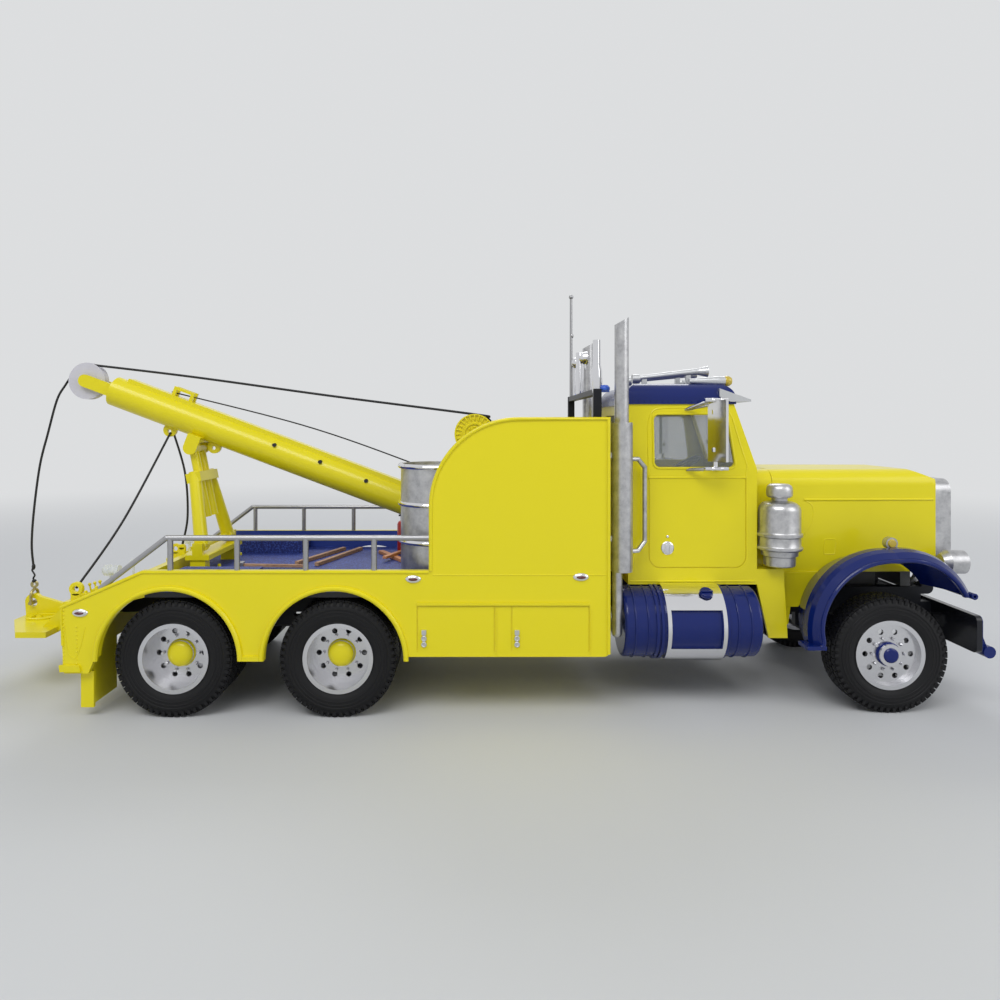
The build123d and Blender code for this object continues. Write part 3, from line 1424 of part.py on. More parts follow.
def mast_lower():
    """Two converging legs on the base pin, joined by a head with two bores."""
    top = mast_length * mast_leg_share
    foot_y = mast_base_half_width - mast_pivot_radius + 0.4
    legs = None
    for side in (-1, 1):
        eye = across(mast_base_x, mast_base_z, sorted((side * (foot_y - 2.6), side * (foot_y + 2.6))),
                     mast_pivot_radius)
        leg = rod(on_mast(0, side * foot_y), on_mast(top, side * mast_leg_top_y), mast_leg_radius,
                  mast_leg_radius * 0.86)
        low = mast_base_z - mast_pivot_radius
        leg -= block((mast_base_x - 9, mast_base_x + 9), (-30, 30), (low - 9, low))
        legs = eye + leg if legs is None else legs + eye + leg
    lift = Pos(*on_mast(0)) * Rot(0, -math.degrees(mast_lean), 0)
    head_half = mast_leg_top_y + mast_leg_radius * 0.86
    legs += lift * block((-3, 3), (-head_half, head_half), (top - mast_head_height, top))
    for side in (-1, 1):
        bore = rod((0, side * mast_rod_y, top - 20), (0, side * mast_rod_y, top + 9),
                   mast_rod_radius + running_fit)
        legs -= lift * bore
    return legs - across(mast_base_x, mast_base_z, (-cut_reach, cut_reach), mast_pin_half + running_fit)


def mast_upper():
    """Two rods through the head of the legs, joined by the eye under the boom."""
    lift = Pos(*on_mast(0)) * Rot(0, -math.degrees(mast_lean), 0)
    rods = None
    for side in (-1, 1):
        bar = rod((0, side * mast_rod_y, mast_rod_foot), (0, side * mast_rod_y, mast_length), mast_rod_radius)
        rods = bar if rods is None else rods + bar
    half = mast_rod_y + mast_rod_radius
    rods += across(0, mast_length, (-half, half), mast_eye_radius)
    rods -= across(0, mast_length, (-half - 1, half + 1), mast_pin_radius + mast_eye_play)
    rods = rods & block((-9, 9), (-half, half), (0, mast_length + 9))
    return lift * rods


def winch_frame():
    """Two plates beside the boom that carry its heel pin and the winch shaft."""
    y = (boom_radius + side_play, boom_radius + side_play + frame_plate_thickness)
    back = heel_x - 7
    outline = [(back, deck_top), (back + frame_foot_length, deck_top), (winch_x + 8, frame_plate_top),
               (winch_x - 4, frame_plate_top), (winch_x - 5.5, winch_z - 5), (back - 1, winch_z - 14)]
    plate = slab(outline, y)
    plate += block((back, back + frame_foot_length), (y[0], y[1] + 4), (deck_top, deck_top + 1.4))
    plate -= across(winch_x, winch_z, (0, cut_reach), winch_shaft_radius + running_fit)
    frame = pair(plate)
    frame += across(heel_x, heel_z, (-y[1] - 1, y[1] + 1), heel_pin_radius)
    frame += across(winch_x + 3.6, winch_z + 2.6, (-y[0], y[0]), 1.2)
    frame += across(heel_x + 9, heel_z - 6, (-y[0], y[0]), 1.4)
    return frame


def winch_drum():
    """Two drums on one shaft, one each side of the frame."""
    inner = boom_radius + side_play + frame_plate_thickness + side_play
    outer = winch_outer_y
    shaft = across(winch_x, winch_z, (-outer, outer), winch_shaft_radius)
    for side in (-1, 1):
        shaft += across(winch_x, winch_z, sorted((side * inner, side * outer)), winch_core_radius)
        for y in (inner, outer - winch_flange_thickness):
            shaft += across(winch_x, winch_z, sorted((side * y, side * (y + winch_flange_thickness))),
                            winch_flange_radius)
    return shaft


# ---------- tow bar ----------
def tow_bar():
    """Six-sided plate on two hinge arms, with the lug for the hook."""
    low = tow_plate_bottom
    high = low + tow_plate_thickness
    wide = tow_plate_half_width
    bar = plan([(tow_plate_front_x, -wide), (tow_plate_rear_x + 12, -wide), (tow_plate_rear_x, -9),
                (tow_plate_rear_x, 9), (tow_plate_rear_x + 12, wide), (tow_plate_front_x, wide)], (low, high))
    arm_y = tow_ear_y + tow_ear_width / 2 + side_play
    for side in (-1, 1):
        y = sorted((side * arm_y, side * (arm_y + tow_ear_width)))
        bar += slab([(tow_hinge_x + 1.6, tow_hinge_z - 1.4), (tow_hinge_x - 1.0, tow_hinge_z + 2.0),
                     (tow_plate_front_x - 6, high), (tow_plate_front_x - 6, low), (tow_plate_front_x, low)], y)
        bar += across(tow_hinge_x, tow_hinge_z, y, tow_hinge_radius)
    half = tow_lug_thickness / 2
    lug = slab([(tow_lug_x - 3.0, high - 0.2), (tow_lug_x - 3.4, tow_lug_top - 3.4),
                (tow_lug_x + 2.6, tow_lug_top - 1.2), (tow_plate_front_x - 6, high + 4),
                (tow_plate_front_x - 1, high + 3), (tow_plate_front_x - 1, high - 0.2)], (-half, half))
    bar += lug + across(tow_lug_x, tow_lug_top - 3.4, (-half, half), 3.4)
    bar -= across(tow_lug_x, tow_lug_top - 3.6, (-5, 5), tow_lug_hole_radius)
    return bar - across(tow_hinge_x, tow_hinge_z, (-cut_reach, cut_reach), tow_pin_radius + running_fit)


# ---------- lamp rack ----------
def lamp_rack():
    """Posts and beam on the bulkhead, with the aerial, spot lamp and beacon."""
    frame = across(rack_x, rack_beam_z, (-rack_post_y, rack_post_y), rack_post_radius)
    for side in (-1, 1):
        frame += rod((rack_x, side * rack_post_y, tall_top), (rack_x, side * rack_post_y, rack_beam_z),
                     rack_post_radius)
        frame += Pos(rack_x, side * rack_post_y, rack_beam_z) * Sphere(rack_post_radius)
    frame += rod((rack_x, rack_post_y, rack_beam_z), (rack_x, rack_post_y, pole_top - pole_ball_radius),
                 pole_radius)
    frame += Pos(rack_x, rack_post_y, pole_top - pole_ball_radius) * Sphere(pole_ball_radius)
    front = rack_x + spot_lamp_depth
    frame += rod((rack_x, rack_post_y, spot_lamp_z), (front, rack_post_y, spot_lamp_z), spot_lamp_radius)
    frame += rod((rack_x, -rack_post_y + 1, rack_beam_z), (rack_x, -rack_post_y + 1, beacon_top), beacon_radius)
    return frame


# ---------- everything ----------
def build():
    parts = {
        "frame_rails": frame_rails(), "front_axle": front_axle(), "springs": front_springs() + rear_springs(),
        "knuckle_left": knuckle(), "knuckle_right": mirrored(knuckle()), "tie_rod": tie_rod(),
        "rear_axles": rear_axles(), "driveline": driveline(),
        "radiator": radiator(),
        "cab_sides": pair(cab_side()), "cab_back": cab_back(), "cab_front": cab_front(),
        "cab_roof": cab_roof(), "cab_glass": cab_glass(),
        "cab_interior": cab_floor() + cab_interior(), "steering_wheel": steering_wheel(),
        "roof_fittings": roof_fittings() + sun_visor(), "mirrors": mirrors(), "cowl_skirts": cowl_skirts(),
        "hood": hood(), "radiator_shell": radiator_shell(), "grille": grille(),
        "fenders": pair(fender()), "headlights": headlights(),
        "bumper": bumper() + push_bar(),
        "fuel_tanks": fuel_tanks(), "step_boxes": step_boxes(), "exhausts": exhausts(),
        "air_cleaners": air_cleaners(),
        "body_sides": pair(body_side()), "body_lockers": body_lockers(), "body_bulkhead": body_bulkhead(),
        "body_tail": body_tail(), "deck": deck(), "guard_rails": pair(guard_rail()),
        "mud_flaps": mud_flaps(), "drum": drum(), "deck_tools": deck_tools() + extinguisher(),
        "winch_frame": winch_frame(), "winch_drum": winch_drum(),
        "boom": boom(), "sheave": sheave(), "mast_base": mast_base(),
        "mast_lower": mast_lower(), "mast_upper": mast_upper(),
        "tow_bar": tow_bar(), "lamp_rack": lamp_rack(),
    }
    parts.update(wheels())
    return parts


parts = build()
whole = [shape.bounding_box() for shape in parts.values()]
origin_x = (min(box.min.X for box in whole) + max(box.max.X for box in whole)) / 2

os.makedirs("parts", exist_ok=True)
for name, shape in parts.items():
    export_step(Pos(-origin_x, 0, 0) * shape, f"parts/{name}.step")
print(len(parts), "nodes, origin at station", round(origin_x, 3))
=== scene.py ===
import bmesh
import bpy
import math
from mathutils import Matrix, Vector


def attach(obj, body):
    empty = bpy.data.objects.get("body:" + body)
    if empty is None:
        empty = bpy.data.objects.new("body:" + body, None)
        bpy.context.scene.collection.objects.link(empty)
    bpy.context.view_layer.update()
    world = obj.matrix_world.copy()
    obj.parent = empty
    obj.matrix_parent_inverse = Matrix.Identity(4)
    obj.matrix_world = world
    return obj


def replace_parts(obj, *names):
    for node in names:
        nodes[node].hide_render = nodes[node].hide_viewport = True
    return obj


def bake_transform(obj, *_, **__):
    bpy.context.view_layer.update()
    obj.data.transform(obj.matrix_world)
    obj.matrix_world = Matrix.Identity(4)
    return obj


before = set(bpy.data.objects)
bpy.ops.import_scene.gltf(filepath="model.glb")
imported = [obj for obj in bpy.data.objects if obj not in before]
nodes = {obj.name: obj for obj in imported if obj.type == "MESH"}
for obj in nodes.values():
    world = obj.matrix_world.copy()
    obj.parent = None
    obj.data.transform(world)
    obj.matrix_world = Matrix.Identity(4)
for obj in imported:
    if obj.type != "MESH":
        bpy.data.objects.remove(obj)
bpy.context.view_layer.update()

unit = 0.001      # sizes below are in millimetres
rowShift = 2.2    # row X of station 0


def at(x, y, z):
    return Vector(((x + rowShift) * unit, y * unit, z * unit))


# node trees: one wrapper for sockets, one method for nodes
class Wire:
    def __init__(self, maker, node, out=0):
        self.maker, self.node = maker, node
        self.socket = node.outputs[out] if len(node.outputs) else None

    def __getitem__(self, out):
        return Wire(self.maker, self.node, out)

    def maths(self, operation, *values):
        return self.maker.add("ShaderNodeMath", {"operation": operation}, dict(enumerate(values)))

    def __abs__(self):
        return self.maths("ABSOLUTE", self)


def operator(operation, swapped=False):
    # method of a wire that joins it with a number or another wire
    def method(wire, other):
        return wire.maths(operation, *((other, wire) if swapped else (wire, other)))
    return method


for method, operation in {"add": "ADD", "sub": "SUBTRACT", "mul": "MULTIPLY"}.items():
    setattr(Wire, f"__{method}__", operator(operation))
    setattr(Wire, f"__r{method}__", operator(operation, swapped=True))
for method, operation in {"truediv": "DIVIDE", "lt": "LESS_THAN", "gt": "GREATER_THAN"}.items():
    setattr(Wire, f"__{method}__", operator(operation))


class Maker:
    def __init__(self, tree):
        self.tree = tree

    def add(self, kind, settings=None, inputs=None, out=0):
        node = self.tree.nodes.new(kind)
        for key, value in (settings or {}).items():
            if key == "stops":
                ramp = node.color_ramp
                while len(ramp.elements) < len(value):
                    ramp.elements.new(1.0)
                for element, (place, shade) in zip(ramp.elements, value):
                    element.position = place
                    element.color = shade
            else:
                setattr(node, key, value)
        for key, value in (inputs or {}).items():
            if isinstance(value, Wire):
                self.tree.links.new(value.socket, node.inputs[key])
            else:
                node.inputs[key].default_value = value
        return Wire(self, node, out)

    def objectPlace(self):
        return self.add("ShaderNodeTexCoord", None, None, "Object")

    def noise(self, place, size, detail, **more):
        # blotches about as wide as the size in millimetres
        inputs = {"Vector": place, "Scale": 1 / (size * unit), "Detail": detail, **more}
        return self.add("ShaderNodeTexNoise", None, inputs)

    def blendColour(self, factor, first, second):
        return self.add("ShaderNodeMix", {"data_type": "RGBA"}, {0: factor, 6: first, 7: second}, 2)


# materials
def shadeOf(colour):
    return (*colour, 1.0)


# base colour, roughness, metal, coat, size of the grain in mm, depth of the grain in mm
finishes = {
    "yellowPaint": ((0.83, 0.72, 0.008), 0.32, 0.0, 0.25, 0.9, 0.010),
    "bluePaint": ((0.003, 0.014, 0.135), 0.20, 0.0, 0.35, 0.9, 0.008),
    "silverPaint": ((0.40, 0.40, 0.41), 0.34, 0.80, 0.0, 0.35, 0.030),
    "frameBlack": ((0.009, 0.010, 0.014), 0.42, 0.0, 0.0, 0.5, 0.020),
    "brightSilver": ((0.60, 0.61, 0.62), 0.32, 0.75, 0.0, 0.5, 0.020),
    "chromePlate": ((0.80, 0.80, 0.82), 0.10, 1.0, 0.0, 1.2, 0.008),
    "rimPlate": ((0.66, 0.66, 0.68), 0.24, 0.95, 0.0, 0.6, 0.015),
    "blackPlastic": ((0.012, 0.012, 0.013), 0.45, 0.0, 0.0, 0.5, 0.020),
    "tyreRubber": ((0.010, 0.010, 0.011), 0.50, 0.0, 0.0, 0.4, 0.025),
    "engineGrey": ((0.10, 0.10, 0.10), 0.55, 0.2, 0.0, 0.5, 0.020),
    "sheaveWhite": ((0.62, 0.61, 0.66), 0.35, 0.0, 0.2, 1.0, 0.010),
    "bottleRed": ((0.50, 0.012, 0.010), 0.30, 0.0, 0.4, 0.8, 0.010),
    "lensRed": ((0.30, 0.008, 0.010), 0.12, 0.0, 0.6, 1.0, 0.0),
    "lensAmber": ((0.60, 0.44, 0.030), 0.14, 0.0, 0.6, 1.0, 0.0),
    "lensBlue": ((0.010, 0.10, 0.62), 0.14, 0.0, 0.6, 1.0, 0.0),
    "lensDark": ((0.110, 0.012, 0.014), 0.16, 0.0, 0.5, 1.0, 0.0),
    "toolOrange": ((0.62, 0.27, 0.12), 0.55, 0.0, 0.0, 0.5, 0.030),
    "steelHead": ((0.36, 0.36, 0.38), 0.40, 0.8, 0.0, 0.4, 0.020),
    "paleBrass": ((0.42, 0.36, 0.16), 0.38, 0.8, 0.0, 0.4, 0.020),
    "lineThread": ((0.010, 0.010, 0.011), 0.70, 0.0, 0.0, 0.3, 0.020),
    "seatVinyl": ((0.030, 0.030, 0.034), 0.60, 0.0, 0.0, 0.4, 0.030),
}

# slot of the parts library that each finish goes to, where it has one
slots = {"yellowPaint": "yellow_paint", "bluePaint": "blue_paint", "silverPaint": "silver_paint",
         "brightSilver": "silver_paint", "wornSilver": "silver_paint", "chromePlate": "plating",
         "rimPlate": "plating", "frameBlack": "black_plastic", "blackPlastic": "black_plastic",
         "lineThread": "black_plastic", "lensClear": "clear_plastic", "tyreRubber": "tyre_rubber",
         "toolWood": "tool_wood"}

# how strongly the duller finishes mirror their surroundings, 0.5 being plain plastic
softGloss = {"yellowPaint": 0.30, "bluePaint": 0.20, "tyreRubber": 0.22, "frameBlack": 0.25}


def glossOf(name):
    return {"Specular IOR Level": softGloss.get(name, 0.5)}


def newMaterial(name):
    material = bpy.data.materials.new(name)
    material.use_nodes = True
    material.node_tree.nodes.clear()
    return material, Maker(material.node_tree)


def shader(maker, colour, rough, metal, coat, normal=None, extra=None):
    inputs = {"Base Color": colour if isinstance(colour, Wire) else shadeOf(colour), "Roughness": rough,
              "Metallic": metal, "Coat Weight": coat, "Coat Roughness": 0.08}
    if normal is not None:
        inputs["Normal"] = normal
    inputs.update(extra or {})
    surface = maker.add("ShaderNodeBsdfPrincipled", None, inputs)
    maker.add("ShaderNodeOutputMaterial", None, {"Surface": surface})
    return surface


def grained(maker, place, size, depth):
    noise = maker.add("ShaderNodeTexNoise", {"noise_dimensions": "4D"},
                      {"Vector": place, "Scale": 1 / (size * unit), "Detail": 3.0, "Roughness": 0.55})
    if depth <= 0:
        return noise, None
    bump = maker.add("ShaderNodeBump", None, {"Strength": 0.5, "Distance": depth * unit, "Height": noise})
    return noise, bump


def plainFinish(name):
    colour, rough, metal, coat, size, depth = finishes[name]
    material, maker = newMaterial(name)
    place = maker.objectPlace()
    noise, bump = grained(maker, place, size, depth)
    dark = shadeOf([c * 0.93 for c in colour])
    paint = maker.blendColour(maker.noise(place, 14, 2.0) * 0.7, shadeOf(colour), dark)
    shader(maker, paint, rough + (noise - 0.5) * 0.12, metal, coat, bump, glossOf(name))
    return material


materials = {name: plainFinish(name) for name in finishes}


deckLook = {"fleck": 0.75, "floor": 44.9,    # below the floor the deck is black
            "stops": [(0.0, (0.10, 0.17, 0.55, 1)), (0.30, (0.035, 0.07, 0.36, 1)),
                      (0.6, (0.010, 0.020, 0.15, 1))]}


def speckledDeck():
    material, maker = newMaterial("speckledDeck")
    place = maker.objectPlace()
    specks = maker.add("ShaderNodeTexVoronoi", {"feature": "F1"},
                       {"Vector": place, "Scale": 1 / (deckLook["fleck"] * unit)})
    flake = maker.add("ShaderNodeValToRGB", {"stops": deckLook["stops"]}, {"Fac": specks})
    noise, bump = grained(maker, place, 0.5, 0.12)
    below = maker.add("ShaderNodeSeparateXYZ", None, {"Vector": place})["Z"] < deckLook["floor"] * unit
    floor = maker.blendColour(below, flake, shadeOf(finishes["frameBlack"][0]))
    shader(maker, floor, 0.55 + (noise - 0.5) * 0.2, 0.0, 0.0, bump)
    return material


def wornSilver():
    # silver paint rubbed and stained in patches
    material, maker = newMaterial("wornSilver")
    place = maker.objectPlace()
    patches = maker.noise(place, 3.2, 6.0, Roughness=0.7)
    stops = [(0.32, (0.38, 0.38, 0.39, 1)), (0.50, (0.50, 0.50, 0.51, 1)), (0.68, (0.60, 0.60, 0.60, 1))]
    tone = maker.add("ShaderNodeValToRGB", {"stops": stops}, {"Fac": patches})
    noise, bump = grained(maker, place, 0.35, 0.030)
    shader(maker, tone, 0.24 + patches * 0.18, 0.85, 0.0, bump)
    return material


def twoSided(name, finish, mask, inner):
    # one finish outside, another colour where the mask holds
    material, maker = newMaterial(name)
    place = maker.objectPlace()
    axes = maker.add("ShaderNodeSeparateXYZ", None, {"Vector": place})
    colour, rough, metal, coat, size, depth = finishes[finish]
    noise, bump = grained(maker, place, size, depth)
    paint = maker.blendColour(mask(axes), shadeOf(colour), shadeOf(inner))
    shader(maker, paint, rough + (noise - 0.5) * 0.12, metal, coat, bump, glossOf(finish))
    return material


panelInner = {"wallY": 47.55, "wallTop": 52.9, "floor": 44.0, "colour": (0.035, 0.07, 0.36)}
# painted shade: the bumper's back face, behind faceX, is coloured near black
bumperBackShade = {"faceX": 182.0, "colour": (0.009, 0.010, 0.014)}


def innerWallMask(axes):
    inside = abs(axes["Y"]) < panelInner["wallY"] * unit
    low = axes["Z"] < panelInner["wallTop"] * unit
    return inside * low * (axes["Z"] > panelInner["floor"] * unit)


# mask for the painted shade on the bumper's back face
def bumperShadeMask(axes):
    return axes["X"] < (bumperBackShade["faceX"] + rowShift) * unit


def clearPane(name, tint, rough, alpha):
    material, maker = newMaterial(name)
    shader(maker, tint, rough, 0.0, 0.0, None, {"Alpha": alpha, "IOR": 1.45})
    return material


def woodGrain():
    material, maker = newMaterial("toolWood")
    place = maker.objectPlace()
    stretched = maker.add("ShaderNodeMapping", None, {"Vector": place, "Scale": (1.0, 6.0, 6.0)})
    noise = maker.noise(stretched, 3, 4.0)
    stops = [(0.3, (0.28, 0.14, 0.075, 1)), (0.7, (0.55, 0.34, 0.20, 1))]
    tone = maker.add("ShaderNodeValToRGB", {"stops": stops}, {"Fac": noise})
    bump = maker.add("ShaderNodeBump", None, {"Strength": 0.4, "Distance": 0.05 * unit, "Height": noise})
    shader(maker, tone, 0.6, 0.0, 0.0, bump)
    return material


materials["speckledDeck"] = speckledDeck()
materials["wornSilver"] = wornSilver()
materials["bodyPanel"] = twoSided("bodyPanel", "yellowPaint", innerWallMask, panelInner["colour"])
# the bumper: blue paint in front, painted shade on its back face
materials["bumperPanel"] = twoSided("bumperPanel", "bluePaint", bumperShadeMask, bumperBackShade["colour"])
materials["clearPane"] = clearPane("clearPane", (0.30, 0.33, 0.34), 0.05, 0.30)
materials["lensClear"] = clearPane("lensClear", (0.80, 0.84, 0.86), 0.08, 0.45)
materials["toolWood"] = woodGrain()
print("materials:", len(materials))

# the CAD nodes' finishes
nodeFinish = {
    "bluePaint": ["cab_roof", "fenders", "fuel_tanks"],
    "bumperPanel": ["bumper"],
    "frameBlack": ["frame_rails", "front_axle", "springs", "tie_rod", "knuckle_left", "knuckle_right",
                   "rear_axles"],
    "engineGrey": ["driveline", "radiator"],
    "chromePlate": ["step_boxes", "mirrors"],
    "brightSilver": ["roof_fittings", "grille"],
    "wornSilver": ["drum", "exhausts", "radiator_shell", "headlights"],
    "silverPaint": ["guard_rails"],
    "blackPlastic": ["steering_wheel"],
    "seatVinyl": ["cab_interior"],
    "speckledDeck": ["deck"],
    "bodyPanel": ["body_sides"],
    "sheaveWhite": ["sheave"],
    "clearPane": ["cab_glass"],
}
finishOf = {node: finish for finish, names in nodeFinish.items() for node in names}
for name, node in nodes.items():
    finish = finishOf.get(name, "yellowPaint")
    if name.startswith("tyre"):
        finish = "tyreRubber"
    elif name.startswith("wheel_"):
        finish = "rimPlate"
    node.data.materials.clear()
    node.data.materials.append(materials[finish])
print("nodes dressed:", len(nodes))


def linked(name, data):
    thing = bpy.data.objects.new(name, data)
    bpy.context.scene.collection.objects.link(thing)
    return thing


# meshes: a shape gathers simple parts and ends as one piece
class Shape:
    def __init__(self):
        self.bm = bmesh.new()

    def place(self, part, matrix=Matrix.Identity(4)):
        part.transform(matrix)
        mesh = bpy.data.meshes.new("part")
        part.to_mesh(mesh)
        part.free()
        self.bm.from_mesh(mesh)
        bpy.data.meshes.remove(mesh)
        return self

    def box(self, x, y, z, turn=None):
        low, high = at(x[0], y[0], z[0]), at(x[1], y[1], z[1])
        part = bmesh.new()
        bmesh.ops.create_cube(part, size=1.0)
        size = Matrix.Diagonal((*(high - low), 1))
        middle = Matrix.Translation((low + high) / 2)
        return self.place(part, middle @ (turn or Matrix.Identity(4)) @ size)

    def rod(self, start, end, radius, endRadius=None, sides=24):
        start, end = at(*start), at(*end)
        along = end - start
        part = bmesh.new()
        bmesh.ops.create_cone(part, cap_ends=True, segments=sides, radius1=radius * unit,
                              radius2=(radius if endRadius is None else endRadius) * unit, depth=along.length)
        turn = along.to_track_quat("Z", "Y").to_matrix().to_4x4()
        return self.place(part, Matrix.Translation((start + end) / 2) @ turn)

    def post(self, x, y, z, radius, endRadius=None, sides=24):
        # upright rod between two heights
        return self.rod((x, y, z[0]), (x, y, z[1]), radius, endRadius, sides)

    def ball(self, centre, radius, stretch=(1, 1, 1)):
        part = bmesh.new()
        bmesh.ops.create_uvsphere(part, u_segments=20, v_segments=12, radius=radius * unit)
        return self.place(part, Matrix.Translation(at(*centre)) @ Matrix.Diagonal((*stretch, 1)))

    def lathe(self, profile, centre, axis=(0, 1, 0), steps=48):
        # profile of radius and distance along the axis, closed on itself
        part = bmesh.new()
        rings = []
        for step in range(steps):
            turn = 2 * math.pi * step / steps
            rings.append([part.verts.new((r * math.cos(turn) * unit, r * math.sin(turn) * unit, d * unit))
                          for r, d in profile])
        for ring, after in zip(rings, rings[1:] + rings[:1]):
            for i in range(len(profile)):
                j = (i + 1) % len(profile)
                part.faces.new((ring[i], ring[j], after[j], after[i]))
        bmesh.ops.remove_doubles(part, verts=part.verts, dist=1e-7)
        bmesh.ops.dissolve_degenerate(part, edges=part.edges, dist=1e-7)
        turn = Vector(axis).to_track_quat("Z", "Y").to_matrix().to_4x4()
        return self.place(part, Matrix.Translation(at(*centre)) @ turn)

    def slab(self, outline, y):
        # outline of X, Z points carried across from one Y to the other
        part = bmesh.new()
        near = [part.verts.new(at(x, y[0], z)) for x, z in outline]
        far = [part.verts.new(at(x, y[1], z)) for x, z in outline]
        part.faces.new(near)
        part.faces.new(list(reversed(far)))
        for i in range(len(outline)):
            j = (i + 1) % len(outline)
            part.faces.new((near[j], near[i], far[i], far[j]))
        return self.place(part)

    def tube(self, points, radius, sides=10):
        # round tube through points, closed at both ends
        path = [at(*p) for p in points]
        part = bmesh.new()
        rings = []
        side = None
        for i, p in enumerate(path):
            along = (path[min(i + 1, len(path) - 1)] - path[max(i - 1, 0)]).normalized()
            if side is None:
                side = along.orthogonal().normalized()
            side = (side - along * side.dot(along)).normalized()
            other = along.cross(side)
            rings.append([part.verts.new(p + (side * math.cos(a) + other * math.sin(a)) * radius * unit)
                          for a in (2 * math.pi * k / sides for k in range(sides))])
        for ring, after in zip(rings, rings[1:]):
            for k in range(sides):
                m = (k + 1) % sides
                part.faces.new((ring[k], ring[m], after[m], after[k]))
        part.faces.new(list(reversed(rings[0])))
        part.faces.new(rings[-1])
        return self.place(part)

    def mirror(self):
        # the same on the other side of the truck
        copy = self.bm.copy()
        copy.transform(Matrix.Diagonal((1, -1, 1, 1)))
        bmesh.ops.reverse_faces(copy, faces=copy.faces)
        return self.place(copy)

    def gather(self, meshes):
        for mesh in meshes:
            self.bm.from_mesh(mesh)
            bpy.data.meshes.remove(mesh)
        return self

    def done(self, name, finish, bevel=0, body="chassis", smooth=35, slot=None):
        # the finished piece, on its body
        bmesh.ops.recalc_face_normals(self.bm, faces=self.bm.faces)
        mesh = bpy.data.meshes.new(name)
        self.bm.to_mesh(mesh)
        self.bm.free()
        mesh.materials.clear()
        mesh.materials.append(materials[finish])
        piece = linked(name, mesh)
        for face in mesh.polygons:
            face.use_smooth = True
        mesh.set_sharp_from_angle(angle=math.radians(smooth))
        if bevel:
            edge = piece.modifiers.new("edge", "BEVEL")
            edge.width = bevel * unit
            edge.segments = 2
            edge.limit_method = "ANGLE"
            edge.angle_limit = math.radians(smooth)
        slot = slot or slots.get(finish)
        if body:
            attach(piece, body)
        return piece


def curved(points, steps=12):
    # smooth line through the points
    line = []
    last = len(points) - 1
    for i in range(last):
        p0, p1, p2, p3 = (Vector(points[min(max(i + k, 0), last)]) for k in (-1, 0, 1, 2))
        for step in range(steps):
            t = step / steps
            line.append(tuple(0.5 * ((2 * p1) + (p2 - p0) * t + (2 * p0 - 5 * p1 + 4 * p2 - p3) * t * t
                                     + (3 * p1 - p0 - 3 * p2 + p3) * t * t * t)))
    line.append(tuple(points[last]))
    return line


# Geometry Nodes: what repeats round a circle or along a line
def repeatTree(name, layout, item):
    tree = bpy.data.node_groups.new(name, "GeometryNodeTree")
    sizes = {"Count": "Int", "Radius": "Float", "Step": "Vector", "Size": "Vector", "Finish": "Material"}
    for label, kind in sizes.items():
        tree.interface.new_socket(label, in_out="INPUT", socket_type="NodeSocket" + kind)
    tree.interface.new_socket("Geometry", in_out="OUTPUT", socket_type="NodeSocketGeometry")
    maker = Maker(tree)
    given = maker.add("NodeGroupInput")
    inputs = {}
    if layout == "ring":
        inputs["Points"] = maker.add("GeometryNodeMeshCircle", {"fill_type": "NONE"},
                                     {"Vertices": given["Count"], "Radius": given["Radius"]})
        turn = maker.add("GeometryNodeInputIndex") * (2 * math.pi) / given["Count"]
        angles = maker.add("ShaderNodeCombineXYZ", None, {"Z": turn})
        inputs["Rotation"] = maker.add("FunctionNodeEulerToRotation", None, {0: angles})
    else:
        inputs["Points"] = maker.add("GeometryNodeMeshLine", {"mode": "OFFSET"},
                                     {"Count": given["Count"], "Offset": given["Step"]})
    if item == "block":
        inputs["Instance"] = maker.add("GeometryNodeMeshCube", None, {"Size": given["Size"]})
    elif item == "bolt":
        inputs["Instance"] = maker.add("GeometryNodeMeshCone", None,
                                       {"Vertices": 6, "Radius Top": 0.86, "Radius Bottom": 1.0,
                                        "Depth": 1.0})
    else:
        inputs["Instance"] = maker.add("GeometryNodeMeshUVSphere", None,
                                       {"Segments": 10, "Rings": 6, "Radius": 1.0})
    if item != "block":
        inputs["Scale"] = given["Size"]
    placed = maker.add("GeometryNodeInstanceOnPoints", None, inputs)
    real = maker.add("GeometryNodeRealizeInstances", None, {"Geometry": placed})
    dressed = maker.add("GeometryNodeSetMaterial", None, {"Geometry": real, "Material": given["Finish"]})
    maker.add("NodeGroupOutput", None, {"Geometry": dressed})
    return tree


kinds = (("ring", "block"), ("ring", "bolt"), ("ring", "dome"), ("line", "block"), ("line", "dome"))
trees = {kind: repeatTree(f"{kind[0]}Of{kind[1].title()}", *kind) for kind in kinds}


def inMetres(value):
    return tuple(v * unit for v in value) if isinstance(value, tuple) else value * unit


def repeated(layout, item, finish, place, count, **sizes):
    # a plain mesh of the repeated items, laid down by the matrix in place
    holder = linked("holder", bpy.data.meshes.new("holder"))
    modifier = holder.modifiers.new("repeat", "NODES")
    modifier.node_group = tree = trees[layout, item]
    known = {socket.name: socket.identifier for socket in tree.interface.items_tree
             if socket.in_out == "INPUT"}
    modifier[known["Count"]] = count
    modifier[known["Finish"]] = materials[finish]
    for label, value in sizes.items():
        modifier[known[label.title()]] = inMetres(value)
    bpy.context.view_layer.update()
    mesh = bpy.data.meshes.new_from_object(holder.evaluated_get(bpy.context.evaluated_depsgraph_get()))
    bpy.data.objects.remove(holder)
    mesh.transform(place)
    return mesh


def ringOf(item, finish, centre, side, count, radius, size, start=0.0):
    # a ring made round Z, laid so that its axis runs along Y, outwards on that side
    lay = Matrix.Translation(at(*centre)) @ Matrix.Rotation(math.radians(-90 * side), 4, "X")
    return repeated("ring", item, finish, lay @ Matrix.Rotation(start, 4, "Z"), count, radius=radius,
                    size=size)


def rowOf(item, finish, start, count, step, size):
    return repeated("line", item, finish, Matrix.Translation(at(*start)), count, step=step, size=size)


print("helpers ready")

